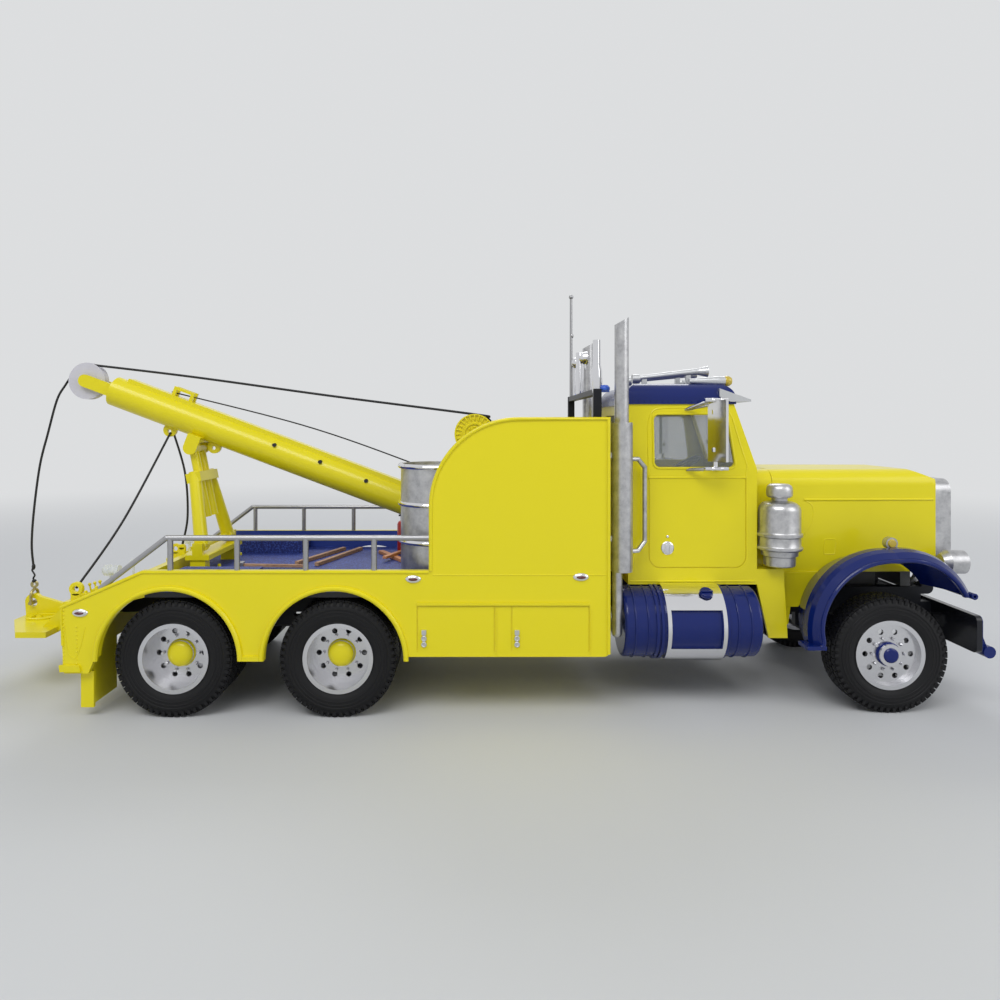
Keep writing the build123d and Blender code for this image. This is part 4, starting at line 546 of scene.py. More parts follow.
# wheels: tread, side ribs, hub covers, nuts
wheel = {"radius": 21.0, "width": 11.0, "axleZ": 21.0, "frontX": 149.0, "frontY": 38.5,
         "rearX": (-50.8, -109.6), "twinY": 36.3, "twinOffset": 6.2}
tyre = {"wall": ((11.95, 4.5), (12.9, 4.62), (13.6, 5.15), (15.2, 5.5), (17.0, 5.5), (18.6, 5.25),
                 (19.9, 4.75), (20.25, 4.25)), "steps": 72}
rib = {"radii": (15.4, 16.6, 17.7), "width": 0.28, "rise": 0.16, "sunk": 0.05}
tread = {"lugs": 54, "lug": (0.7, 2.05, 1.505), "rows": (-3.9, -1.95, 0.0, 1.95, 3.9), "edgeDrop": 0.12,
         "shoulder": (1.5, 1.15, 0.9), "shoulderDrop": 1.35, "shoulderIn": 0.62}
hubs = {
    "front": {"cover": [(0.0, 2.4), (4.4, 2.4), (4.4, 3.9), (4.05, 4.4), (2.9, 4.6), (2.7, 5.5), (2.2, 5.9),
                        (0.0, 6.0)],
              "face": 3.1, "nutCircle": 5.8, "finish": "bluePaint"},
    "twin": {"cover": [(0.0, 3.0), (5.2, 3.0), (5.2, 3.9), (4.9, 4.2), (4.7, 5.2), (4.2, 6.0), (3.2, 6.6),
                       (1.8, 7.0), (0.0, 7.1)],
             "face": 3.7, "nutCircle": 6.6, "finish": "yellowPaint"},
}
nut = {"count": 10, "size": (0.62, 0.62, 1.1), "out": 0.35}
twins = (-wheel["twinOffset"], wheel["twinOffset"])
axles = (("front", wheel["frontX"], wheel["frontY"], (0.0,)),
         ("middle", wheel["rearX"][0], wheel["twinY"], twins),
         ("rear", wheel["rearX"][1], wheel["twinY"], twins))


def addTyre(shape, x, y, z):
    wall = tyre["wall"]
    section = [(wall[0][0], -wall[0][1])] + list(wall) + [(r, -d) for r, d in reversed(wall[1:])]
    shape.lathe(section, (x, y, z), steps=tyre["steps"])
    width = rib["width"]
    for radius in rib["radii"]:
        for side in (-1, 1):
            foot = side * (wheel["width"] / 2 - rib["sunk"])
            crest = foot + side * rib["rise"]
            shape.lathe([(radius - width, foot), (radius - width / 2, crest), (radius + width / 2, crest),
                         (radius + width, foot)], (x, y, z), steps=tyre["steps"])


def treadMeshes(x, y, z):
    made = []
    for row, offset in enumerate(tread["rows"]):
        radius = wheel["radius"] - tread["lug"][0] / 2
        if abs(offset) == tread["rows"][-1]:
            radius -= tread["edgeDrop"]
        start = math.pi / tread["lugs"] * (row % 2)
        made.append(ringOf("block", "tyreRubber", (x, y + offset, z), 1, tread["lugs"], radius, tread["lug"],
                           start))
    for side in (-1, 1):
        centre = (x, y + side * (wheel["width"] / 2 - tread["shoulderIn"]), z)
        made.append(ringOf("block", "tyreRubber", centre, 1, tread["lugs"],
                           wheel["radius"] - tread["shoulderDrop"], tread["shoulder"]))
    return made


for name, x, y, offsets in axles:
    for sideName, side in (("left", 1), ("right", -1)):
        body, label, z = f"wheel_{name}_{sideName}_body", name.title() + sideName.title(), wheel["axleZ"]
        shape, blocks = Shape(), []
        for offset in offsets:
            addTyre(shape, x, side * (y + offset), z)
            blocks += treadMeshes(x, side * (y + offset), z)
        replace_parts(shape.gather(blocks).done("tyre" + label, "tyreRubber", 0, body),
                    f"tyre_{name}_{sideName}")
        hub = hubs.get(name, hubs["twin"])
        Shape().lathe([(r, side * d) for r, d in hub["cover"]], (x, side * y, z), steps=40).done(
            "hubCover" + label, hub["finish"], 0.1, body)
        face = (x, side * y + side * (hub["face"] + nut["out"]), z)
        nuts = ringOf("bolt", "rimPlate", face, side, nut["count"], hub["nutCircle"], nut["size"])
        Shape().gather([nuts]).done("wheelNuts" + label, "rimPlate", 0, body)
print("wheels dressed:", len(axles) * 2)

# wrecker body: beads along the tall panel, the deck's edge and the wheel arches
trim = {"outerY": 49.5, "tallRear": -18.2, "tallTop": 107.4, "corner": 31.9, "front": 46.3, "low": 23.4,
        "sideTop": 53.0, "bead": 0.7, "rowBead": 0.6, "seamBead": 0.3,
        "row": ((-147.9, 26.5), (-148.5, 39.9), (-119.7, 52.4), (-18.2, 52.4)),
        "seam": ((-16.7, 51.4), (44.8, 51.4)), "shelfX": (-22.4, 38.8), "shelfZ": (40.7, 41.6),
        "arches": (-51.8, -110.6), "archRadius": 25.7, "archY": 50.1, "archLow": 21.2, "archBead": 0.85}
outerY = trim["outerY"]


def arcPoints(x, z, radius, start, end, steps):
    turns = [math.radians(start + (end - start) * step / steps) for step in range(steps + 1)]
    return [(x + radius * math.cos(turn), z + radius * math.sin(turn)) for turn in turns]


def besideRow(points, y):
    return [(x, y, z) for x, z in points]


r, bead = trim["corner"], trim["bead"]
tallEdge = [(trim["tallRear"] + bead, trim["sideTop"])]
tallEdge += arcPoints(trim["tallRear"] + r, trim["tallTop"] - r, r - bead, 180, 90, 20)
tallEdge += [(trim["front"] - bead, trim["tallTop"] - bead), (trim["front"] - bead, trim["low"])]
edge = Shape()
edge.tube(besideRow(tallEdge, -outerY), bead, 12)
edge.tube(besideRow(trim["row"], -outerY + 0.1), trim["rowBead"], 10)
edge.tube(besideRow(trim["seam"], -outerY + 0.1), trim["seamBead"], 8)
edge.box(trim["shelfX"], (-outerY - 0.7, -outerY + 0.2), trim["shelfZ"])
for x in trim["arches"]:
    r, low = trim["archRadius"], trim["archLow"]
    arc = [(x + r, low)] + arcPoints(x, wheel["axleZ"], r, 1, 179, 32) + [(x - r, low)]
    edge.tube(besideRow(arc, -trim["archY"]), trim["archBead"], 10)
edge.mirror().done("bodyEdgeBeads", "yellowPaint")

lamps = {"places": ((-23.7, 50.0), (35.8, 50.7), (-141.8, 38.0)), "rim": (2.9, 0.9, 1.5),
         "lens": (2.2, 1.15, 0.8)}
rings, lenses = Shape(), Shape()
for x, z in lamps["places"]:
    rings.ball((x, -outerY, z), 1.0, lamps["rim"])
    lenses.ball((x, -outerY, z), 1.0, lamps["lens"])
rings.mirror().done("sideLampRims", "chromePlate")
lenses.mirror().done("sideLampLenses", "lensDark")

# a latch on each locker door: a block over two rings, the lower one hanging
latch = {"places": (-19.85, 13.1), "blockZ": (30.4, 32.0), "stemZ": (26.4, 31.0), "ringZ": (29.0, 26.9),
         "ring": 0.75, "wire": 0.26}
latches = Shape()
for x in latch["places"]:
    latches.box((x - 0.8, x + 0.8), (-outerY - 0.9, -outerY + 0.2), latch["blockZ"])
    latches.box((x - 0.5, x + 0.5), (-outerY - 0.5, -outerY + 0.2), latch["stemZ"])
    for z in latch["ringZ"]:
        ring = arcPoints(x, z, latch["ring"], 0, 360, 12)
        latches.tube(besideRow(ring, -outerY - 0.55), latch["wire"], 8)
latches.mirror().done("lockerLatches", "brightSilver", 0.05)

# piano hinges down the doors' front seams, rivets down the skirt's lip and along the roof's edge
hinge = {"seams": (5.9, 39.3), "y": 49.52, "low": 23.6, "pitch": 0.95, "count": 17,
         "knuckle": (0.6, 0.4, 0.55)}
rivet = {"tail": ((-147.6, 20.0, 14), (-143.0, 20.0, 10)), "tailPitch": 1.45, "tailSize": (0.34, 0.3, 0.34),
         "roof": (58.5, 28.9, 113.6), "roofCount": 18, "roofPitch": 2.25, "roofSize": (0.42, 1.0, 0.42)}
knuckles, tailRivets, roofRivets = [], [], []
for side in (-1, 1):
    for x in hinge["seams"]:
        knuckles.append(rowOf("block", "yellowPaint", (x, side * hinge["y"], hinge["low"]), hinge["count"],
                              (0, 0, hinge["pitch"]), hinge["knuckle"]))
    for x, z, count in rivet["tail"]:
        tailRivets.append(rowOf("dome", "yellowPaint", (x, side * outerY, z), count,
                                (0, 0, rivet["tailPitch"]), rivet["tailSize"]))
    x, y, z = rivet["roof"]
    roofRivets.append(rowOf("dome", "bluePaint", (x, side * y, z), rivet["roofCount"],
                            (rivet["roofPitch"], 0, 0), rivet["roofSize"]))
Shape().gather(knuckles).done("lockerHinges", "yellowPaint")
Shape().gather(tailRivets).done("tailRivets", "yellowPaint")
Shape().gather(roofRivets).done("roofRivets", "bluePaint")

# tail: eye brackets that hold the lines, and the skirt's lip with its cast scroll
tail = {"eye": (-146.8, 42.6, 45.0), "eyeRadius": 2.5, "boreRadius": 1.1, "plateZ": (39.0, 40.9),
        "humps": ((-143.4, 43.6), (-139.5, 45.2)),
        "lip": ((-148.6, 17.2), (-141.2, 17.2), (-141.8, 19.6), (-148.9, 19.6)),
        "scroll": ((-147.2, 34.0), (-146.2, 25.0), (-144.0, 21.8), (-142.0, 24.6), (-139.9, 33.0))}
brackets = Shape()
eyeX, eyeY, eyeZ = tail["eye"]
for side in (-1, 1):
    y = side * eyeY
    brackets.box((-150.2, -138.6), (y - 3.0, y + 3.0), tail["plateZ"])
    brackets.box((eyeX - 1.9, eyeX + 1.9), (y - 0.8, y + 0.8), (40.6, 43.4))
    inner, outer = tail["boreRadius"], tail["eyeRadius"]
    brackets.lathe([(inner, -0.8), (outer, -0.8), (outer, 0.8), (inner, 0.8)], (eyeX, y, eyeZ), steps=24)
    brackets.box((-144.6, -138.2), (y - 2.0, y + 1.6), (40.6, 42.2))
    for x, top in tail["humps"]:
        brackets.box((x - 1.1, x + 1.1), (y - 1.6, y + 1.2), (41.8, top))
        brackets.post(x, y - 0.2, (top - 0.4, top + 0.8), 0.8, 0.55, 12)
brackets.box((-127.2, -124.6), (-0.9, 0.9), (49.6, 53.0))
brackets.rod((-126.0, -0.9, 53.0), (-126.0, 0.9, 53.0), 1.3, None, 16)
brackets.done("lineBrackets", "yellowPaint", 0.15)
tailLip = Shape().slab(tail["lip"], (-outerY - 0.9, -outerY + 0.3))
tailLip.tube(curved(besideRow(tail["scroll"], -outerY - 0.02), 8), 0.16, 8)
tailLip.mirror().done("tailLips", "yellowPaint", 0.12)

lever = {"count": 3, "x": -143.6, "pitch": 1.9, "y": -38.0, "foot": 40.5, "top": 45.6, "lean": 1.0,
         "radius": 0.3, "knob": 0.6}
levers = Shape()
for i in range(lever["count"]):
    x, y = lever["x"] + lever["pitch"] * i, lever["y"]
    knob = (x - lever["lean"], y, lever["top"] + 0.5 * i)
    levers.rod((x, y, lever["foot"] + 0.3 * i), knob, lever["radius"], None, 10).ball(knob, lever["knob"])
levers.done("controlLevers", "yellowPaint")

# clear work lamps on stems: a turned head, and a small round one ahead of it
workLamp = {"x": -137.6, "y": 36.0, "stem": (44.0, 49.4), "headZ": 50.4,
            "head": [(0.0, -3.2), (1.3, -3.0), (2.0, -2.2), (2.1, -0.4), (1.6, 0.2), (1.6, 1.2), (2.0, 1.8),
                     (1.9, 3.1), (0.0, 3.3)],
            "ballX": -130.2, "ballY": 34.2, "ballStem": (46.6, 52.0), "ballZ": 53.0, "ball": 1.4}
workLamps = Shape()
for side in (-1, 1):
    x, y = workLamp["x"], side * workLamp["y"]
    workLamps.post(x, y, workLamp["stem"], 0.6, None, 12)
    workLamps.lathe(workLamp["head"], (x, y, workLamp["headZ"]), (1, 0, 0), 24)
    x, y = workLamp["ballX"], side * workLamp["ballY"]
    workLamps.post(x, y, workLamp["ballStem"], 0.45, None, 12)
    workLamps.ball((x, y, workLamp["ballZ"]), workLamp["ball"])
workLamps.done("workLamps", "lensClear", 0.1)

rearLamp = {"x": (-150.2, -149.0), "y": (-41.0, -36.0, 36.0, 41.0), "z": 33.0, "radii": (1.7, 1.9)}
rearLamps = Shape()
for y in rearLamp["y"]:
    rearLamps.rod(*((x, y, rearLamp["z"]) for x in rearLamp["x"]), *rearLamp["radii"], 20)
rearLamps.done("rearLamps", "lensRed", 0.1)

# cab: beads of the door and window, handle, wipers, lamp lenses
cab = {"halfY": 31.0, "eaveY": 29.0, "belt": 88.0, "eave": 112.6, "screen": (105.3, 97.3),
       "handle": (71.3, 57.8), "door": (64.1, 101.0), "ridgeZ": 84.6, "sill": ((56.9, 45.2), (104.6, 45.2)),
       "window": ((66.05, 88.15), (97.45, 88.15), (94.55, 108.85), (66.05, 108.85)), "windowCorner": 2.4}


def cabSideY(z, out=0.0):
    # the cab's side leans in above its belt
    share = max(0.0, (z - cab["belt"]) / (cab["eave"] - cab["belt"]))
    return -(cab["halfY"] + (cab["eaveY"] - cab["halfY"]) * share + out)


def onCabSide(points, out=0.0):
    return [(x, cabSideY(z, out), z) for x, z in points]


def roundedLoop(corners, radius, steps=6):
    # closed outline with each corner rounded
    loop = []
    for i, corner in enumerate(corners):
        here, before, after = Vector(corner), Vector(corners[i - 1]), Vector(corners[(i + 1) % len(corners)])
        start = here + (before - here).normalized() * radius
        end = here + (after - here).normalized() * radius
        for step in range(steps + 1):
            t = step / steps
            loop.append(tuple(start * (1 - t) ** 2 + here * 2 * t * (1 - t) + end * t * t))
    return loop + loop[:1]


def screenX(z):
    share = (z - cab["belt"]) / (cab["eave"] - cab["belt"])
    return cab["screen"][0] + (cab["screen"][1] - cab["screen"][0]) * share


doorRear, doorFront = ((x, cab["ridgeZ"]) for x in cab["door"])
doorEdge = [doorRear] + [(doorRear[0], z) for z in (90.0, 96.0, 103.0)]
doorEdge += curved([(doorRear[0], 105.0), (66.2, 110.0), (71.0, 111.2)], 6) + [(80.0, 111.3)]
doorEdge += curved([(88.0, 111.3), (94.2, 110.6), (96.6, 107.0)], 6)
doorEdge += [(99.0, 98.0), (101.6, 89.0), doorFront]
cabBeads = Shape()
cabBeads.tube(onCabSide(roundedLoop(cab["window"], cab["windowCorner"])), 0.42, 10)
cabBeads.tube(onCabSide(doorEdge, -0.12), 0.34, 10)
cabBeads.tube(onCabSide([doorRear, doorFront], -0.05), 0.42, 10)
cabBeads.tube(onCabSide(cab["sill"], -0.15), 0.4, 10)
cabBeads.mirror().done("doorBeads", "yellowPaint")

x, z = cab["handle"]
y = -cab["halfY"]
handle = Shape().ball((x, y, z), 1.0, (2.5, 0.5, 2.6))
for near, far in ((-1.15, -0.55), (0.55, 1.15)):
    handle.box((x + near, x + far), (y - 0.95, y), (z - 1.7, z + 1.7))
handle.ball((x, y, z + 4.4), 0.55, (1, 0.6, 1))
handle.mirror().done("doorHandles", "chromePlate", 0.08)

# wipers: an arm from its foot, and the blade across the arm's tip
wiper = {"y": (-25.0, -9.0, 9.0, 25.0), "foot": (1.2, 86.2), "tip": (1.8, 93.2), "lean": 1.2,
         "blade": ((1.6, 88.6), (1.2, 97.8))}
wipers = Shape()
for y in wiper["y"]:
    out, z = wiper["foot"]
    foot = (screenX(z) + out, y, z)
    out, z = wiper["tip"]
    tip = (screenX(z) + out, y - math.copysign(wiper["lean"], y), z)
    wipers.rod(foot, tip, 0.4, 0.3, 10).ball(foot, 0.8)
    (lowOut, low), (highOut, high) = wiper["blade"]
    blade = (screenX(low) + lowOut, tip[1] + 0.8, low), (screenX(high) + highOut, tip[1] - 0.8, high)
    wipers.rod(*blade, 0.36, None, 8)
wipers.done("wipers", "yellowPaint")

roofLens = {"outer": (95.4, 24.0, 121.7), "inner": (93.2, 12.0, 122.4), "radius": 1.25,
            "profile": [(0.0, -0.2), (1.9, -0.2), (2.1, 0.6), (2.0, 1.6), (1.4, 2.5), (0.0, 2.9)]}
roofLenses = Shape()
x, y, z = roofLens["outer"]
for side in (-1, 1):
    roofLenses.lathe(roofLens["profile"], (x, side * y, z), (1, 0, 0), 24)
x, y, z = roofLens["inner"]
for side in (-1, 0, 1):
    roofLenses.ball((x, side * y, z), roofLens["radius"], (0.9, 1, 1))
roofLenses.done("roofLenses", "lensAmber")

# mirrors: an upright tube behind each head in two clamps, and the arms to the cab
mirror = {"postX": 86.9, "postY": 38.0, "post": (88.6, 114.4), "postRadius": 0.55, "clamps": (95.4, 109.4)}
x, y = mirror["postX"], -mirror["postY"]
posts = Shape().post(x, y, mirror["post"], mirror["postRadius"], None, 12)
for z in mirror["clamps"]:
    posts.box((x - 0.9, x + 1.3), (y - 1.0, y + 0.9), (z - 0.8, z + 0.8))
posts.mirror().done("mirrorPosts", "chromePlate", 0.08)
mirrorArm = {"x": 87.8, "y": 38.4, "radius": 0.75, "feet": ((78.8, -1.6), (90.0, 1.6)),
             "rows": ((113.8, 110.4), (88.4, 87.4)), "bar": (-4.6, 4.0)}
x, y, r = mirrorArm["x"], -mirrorArm["y"], mirrorArm["radius"]
arms = Shape()
for footX, out in mirrorArm["feet"]:
    for headZ, footZ in mirrorArm["rows"]:
        arms.rod((footX, cabSideY(footZ, -0.2), footZ), (x + out, y, headZ), r, None, 12)
        arms.ball((x + out, y, headZ), r * 1.15)
for z, _ in mirrorArm["rows"]:
    arms.rod((x + mirrorArm["bar"][0], y, z), (x + mirrorArm["bar"][1], y, z), r, None, 12)
arms.mirror().done("mirrorArms", "chromePlate")

# hood: side beads, the seam behind them and a raised square
hood = {"rear": 114.6, "front": 179.4, "rearY": 23.0, "frontY": 21.0, "bead": ((127.0, 75.3), (178.6, 75.3)),
        "crease": ((127.0, 75.3), (130.4, 72.6), (130.2, 67.0), (127.4, 61.6)),
        "square": ((134.7, 53.9), (139.3, 53.9), (139.6, 59.8), (135.0, 59.8)),
        "seam": ((114.3, -12.0, 86.95), (114.4, -18.0, 86.7), (114.6, -21.4, 84.8), (114.7, -22.95, 81.0),
                 (114.7, -23.0, 72.0), (114.7, -23.0, 58.0))}


def onHood(points, out):
    slope = (hood["frontY"] - hood["rearY"]) / (hood["front"] - hood["rear"])
    return [(x, -(hood["rearY"] + (x - hood["rear"]) * slope + out), z) for x, z in points]


beads = Shape()
beads.tube(onHood(hood["bead"], -0.1), 0.5, 10)
beads.tube(onHood(curved(hood["crease"], 6), -0.12), 0.28, 8)
beads.tube(onHood(roundedLoop(hood["square"], 0.9), -0.12), 0.26, 8)
beads.mirror().done("hoodBeads", "yellowPaint", 0, "hood_body")
Shape().tube(curved(hood["seam"], 6), 0.2, 8).mirror().done("cowlSeams", "yellowPaint")

# fenders: foot flange and a rolled edge at the tip
fender = {"footX": (117.6, 124.6), "footY": (-46.4, -38.6), "footZ": (23.6, 25.0),
          "tip": (178.0, -24.0, 42.8), "roll": [(0.5, -22.0), (1.15, -22.0), (1.15, 0.0), (0.5, 0.0)]}
flange = Shape().box(fender["footX"], fender["footY"], fender["footZ"])
flange.lathe(fender["roll"], fender["tip"], (0, 1, 0), 20)
flange.mirror().done("fenderFlanges", "bluePaint", 0.15, "hood_body")

# rolled bead along each fender's outer rim, found on the fender's own solid
fenderRim = {"axle": (149.0, 21.0), "step": 8.0, "skin": 0.15, "radius": 0.75}


def fenderEdge():
    solid = nodes["fenders"]
    places = [solid.matrix_world @ vertex.co / unit for vertex in solid.data.vertices]
    outer = min(place.y for place in places)
    rows = {}
    for place in places:
        if place.y < outer + fenderRim["skin"]:
            x, z = place.x - rowShift, place.z
            turn = math.degrees(math.atan2(z - fenderRim["axle"][1], x - fenderRim["axle"][0]))
            rows.setdefault(round(turn / fenderRim["step"]), []).append(Vector((x, outer, z)))
    return [tuple(sum(row, Vector()) / len(row)) for _, row in sorted(rows.items())]


rim = Shape().tube(curved(fenderEdge(), 4), fenderRim["radius"])
rim.mirror().done("fenderRims", "bluePaint", 0, "hood_body")
splash = {"outline": ((117.0, 46.8), (134.0, 47.4), (129.5, 42.0), (126.0, 36.0), (124.5, 33.5),
                      (118.2, 33.5)),
          "y": (-23.25, -22.3)}
Shape().slab(splash["outline"], splash["y"]).mirror().done("splashPanels", "yellowPaint", 0.1, "hood_body")
marker = {"x": 153.6, "y": (-36.3, -37.0), "z": 60.4, "radii": (1.7, 1.36)}
markers = Shape().rod(*((marker["x"], y, marker["z"]) for y in marker["y"]), *marker["radii"], 20)
markers.mirror().done("fenderMarkers", "lensAmber", 0.05, "hood_body")

# air cleaners: a turned can with a rolled shoulder, two bands, a cup below and a cap on a neck
cleaner = {"x": 113.6, "y": 31.6, "profile": [
    (0.0, 51.3), (5.2, 51.3), (5.7, 51.7), (5.8, 55.0), (6.6, 55.4), (6.8, 57.2), (7.9, 57.5), (8.3, 58.0),
    (8.3, 58.5), (7.8, 58.9), (7.6, 59.2), (7.6, 62.3), (8.3, 62.8), (8.3, 63.6), (7.7, 64.1), (7.6, 64.4),
    (7.6, 72.4), (7.5, 73.2), (7.0, 74.2), (6.2, 75.0), (5.0, 75.5), (3.2, 75.7), (2.9, 76.0), (2.9, 77.0),
    (4.2, 77.3), (4.7, 77.9), (4.8, 79.2), (4.7, 80.6), (4.3, 81.6), (3.4, 82.2), (0.0, 82.4)]}
cans = Shape().lathe(cleaner["profile"], (cleaner["x"], -cleaner["y"], 0), (0, 0, 1), 56)
cans.box((cleaner["x"] - 2.0, cleaner["x"] - 0.2), (-cleaner["y"] + 3.0, -23.4), (58.8, 64.8))
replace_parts(cans.mirror().done("airCleaners", "wornSilver"), "air_cleaners")

# drum: rolled hoops over the barrel's own bands
hoop = {"x": -15.9, "y": 30.0, "shares": (0.36, 0.68, 1.0), "band": 1.6,
        "profile": [(13.9, -0.9), (14.9, -0.85), (15.35, -0.45), (15.5, 0.0), (15.35, 0.45), (14.9, 0.85),
                    (13.9, 0.9)]}
drumHeights = [(nodes["drum"].matrix_world @ vertex.co).z / unit for vertex in nodes["drum"].data.vertices]
drumHoops = Shape()
for share in hoop["shares"]:
    z = min(drumHeights) + (max(drumHeights) - min(drumHeights) - hoop["band"]) * share + hoop["band"] / 2
    drumHoops.lathe(hoop["profile"], (hoop["x"], -hoop["y"], z), (0, 0, 1), 64)
drumHoops.done("drumHoops", "chromePlate", slot="silver_paint")

# tanks: end rings, strap pairs and the filler caps
tank = {"y": 32.0, "z": 30.6, "rings": (56.4, 61.0, 93.6, 98.4), "straps": (64.4, 66.2, 88.0, 89.8),
        "ring": [(12.6, -0.45), (13.25, -0.3), (13.4, 0.0), (13.25, 0.3), (12.6, 0.45)],
        "strap": [(12.6, -0.6), (13.7, -0.55), (13.7, 0.55), (12.6, 0.6)], "cap": (83.0, 39.4, 41.2)}
tankTrim = Shape()
for places, profile in ((tank["rings"], tank["ring"]), (tank["straps"], tank["strap"])):
    for x in places:
        tankTrim.lathe(profile, (x, -tank["y"], tank["z"]), (1, 0, 0), 64)
tankTrim.mirror().done("tankRings", "bluePaint", 0.1)
x, y, z = tank["cap"]
caps = Shape()
caps.rod((x, -y, z), (x, -y - 1.0, z + 1.6), 2.1, None, 20)
caps.rod((x, -y - 0.9, z + 1.5), (x, -y - 1.5, z + 2.4), 2.6, 2.3, 12)
caps.box((x - 2.2, x + 2.2), (-y - 2.2, -y - 1.2), (z + 2.3, z + 2.9))
caps.mirror().done("fillerCaps", "bluePaint", 0.12)

# rack on the bulkhead: dark posts and beam, silver pole, plated stacks and lamps
rack = {"x": 43.4, "postY": 38.0, "low": 107.4, "beamZ": 117.0, "poleTop": 166.6, "poleRadius": 0.75,
        "knobZ": 147.0, "lampZ": 134.0, "lampY": (37.0, 12.0), "stackTop": 127.4, "beaconTop": 136.4,
        "stack": [(0.0, -1.2), (1.5, -1.2), (2.0, 2.0), (2.0, 7.0), (1.5, 9.4), (1.45, 18.6), (0.0, 18.6)],
        "lamp": [(0.0, -2.6), (1.2, -2.4), (2.4, -1.2), (2.9, 0.6), (2.9, 1.4), (2.5, 1.5), (2.3, 0.9),
                 (0.0, 0.7)],
        "lens": [(0.0, -0.2), (1.9, -0.2), (1.9, 0.8), (1.2, 1.6), (0.0, 1.8)]}
x, y, beamZ = rack["x"], rack["postY"], rack["beamZ"]
posts = Shape()
for side in (-1, 1):
    posts.box((x - 1.5, x + 1.5), (side * y - 1.2, side * y + 1.2), (rack["low"] - 0.4, beamZ + 1.0))
posts.box((x - 1.3, x + 1.3), (-y, y), (beamZ - 1.3, beamZ + 1.0))
pole = Shape()
pole.post(x, y, (beamZ, rack["poleTop"] - 0.8), rack["poleRadius"], rack["poleRadius"] * 0.8, 14)
pole.ball((x, y, rack["poleTop"] - 1.1), 1.1)
pole.ball((x + 0.3, y, rack["knobZ"]), 0.95, (0.9, 0.9, 1.3))
plated = Shape()
plated.post(x, -y + 1, (beamZ, rack["stackTop"]), 1.5, 1.5, 20)
plated.lathe(rack["stack"], (x, -y + 1, beamZ + 0.6), (0, 0, 1), 28)
for lampY in rack["lampY"]:
    plated.lathe(rack["lamp"], (x + 2.4, lampY, rack["lampZ"]), (1, 0, 0), 28)
    plated.rod((x + 1.4, lampY, beamZ), (x + 1.6, lampY, rack["lampZ"] - 2.4), 0.7, None, 12)
plated.post(x, lampY, (beamZ, rack["beaconTop"]), 1.3, 1.2, 16)
for piece in (posts.done("rackPosts", "frameBlack", 0.15), pole.done("rackPole", "silverPaint"),
              plated.done("rackLamps", "chromePlate")):
    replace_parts(piece, "lamp_rack")
blueLens = Shape()
for side in (-1, 1):
    lensY = side * (y - 1.0)
    blueLens.lathe(rack["lens"], (x + 3.0, lensY, beamZ + 0.8), (0, 0, 1), 20)
    blueLens.box((x - 0.5, x + 4.6), (lensY - 0.8, lensY + 0.8), (beamZ - 0.2, beamZ + 0.8))
blueLens.done("rackLenses", "lensBlue", 0.05)
print("cab, hood, tanks and rack trimmed")

# boom: black rods through its sides at the holes, as painted shade in them
boomHole = {"places": ((-85.4, 96.3), (-66.4, 89.3), (-47.3, 81.4)), "y": 6.32, "radius": 0.8}
holeShade = Shape()
for x, z in boomHole["places"]:
    holeShade.rod((x, -boomHole["y"], z), (x, boomHole["y"], z), boomHole["radius"], None, 16)
holeShade.done("boomHoles", "blackPlastic", 0, "boom_body")

# winch: the wound line, ribs and domes on the outer flanges, and their rings
winch = {"x": -2.1, "z": 101.1, "core": 3.7, "wound": 6.7, "inner": 10.3, "outer": 24.4, "pitch": 0.9,
         "coil": ((0.0, -0.28), (0.25, -0.05), (0.5, 0.0), (0.75, -0.05)), "rings": ((3.7, 4.4), (7.2, 7.8)),
         "ringY": (25.6, 26.3),
         "flange": (("block", 26.0, 24, 6.4, (2.0, 0.55, 0.7)), ("dome", 25.9, 8, 2.7, (0.5, 0.5, 0.6)))}
rows = int((winch["outer"] - winch["inner"]) / winch["pitch"])
end = winch["inner"] + rows * winch["pitch"]
profile = [(winch["core"], winch["inner"])]
for row in range(rows):
    start = winch["inner"] + row * winch["pitch"]
    profile += [(winch["wound"] + rise, start + share * winch["pitch"]) for share, rise in winch["coil"]]
profile += [(winch["wound"] + winch["coil"][0][1], end), (winch["core"], end)]
coils, flangeRings, ribs = Shape(), Shape(), []
for side in (-1, 1):
    coils.lathe([(r, side * d) for r, d in profile], (winch["x"], 0, winch["z"]), steps=40)
    for item, out, count, radius, size in winch["flange"]:
        centre = (winch["x"], side * out, winch["z"])
        ribs.append(ringOf(item, "yellowPaint", centre, side, count, radius, size))
    near, far = (side * y for y in winch["ringY"])
    for inner, outer in winch["rings"]:
        section = [(inner, near), (outer, near), (outer, far), (inner, far)]
        flangeRings.lathe(section, (winch["x"], 0, winch["z"]), steps=40)
coils.done("woundLine", "lineThread", 0, "winch")
Shape().gather(ribs).done("winchRibs", "yellowPaint", 0.1, "winch")
flangeRings.done("winchRings", "yellowPaint", 0.08, "winch")

# mast base: bolts on the two plates
mastBolt = {"x": (-117.2, -106.8), "y": (9.78, 16.22), "z": (46.6, 47.7), "radii": (0.75, 0.65)}
bolts = Shape()
for y in (-mastBolt["y"][1], -mastBolt["y"][0], *mastBolt["y"]):
    for x in mastBolt["x"]:
        bolts.post(x, y, mastBolt["z"], *mastBolt["radii"], 6)
bolts.done("mastBolts", "yellowPaint", 0.05)

# lines, each baked where it hangs and held by no body
rope = {"main": 0.5, "thin": 0.28, "hang": 0.45, "tie": 0.36}
wrap = {"x": -165.5, "z": 123.2, "radius": 7.35, "turn": (90, 230)}


def blended(shape, name, start, end, second="boom_body"):
    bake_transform(shape.done(name, "lineThread", 0, None, 80), "chassis", second, start=at(*start), end=at(*end))


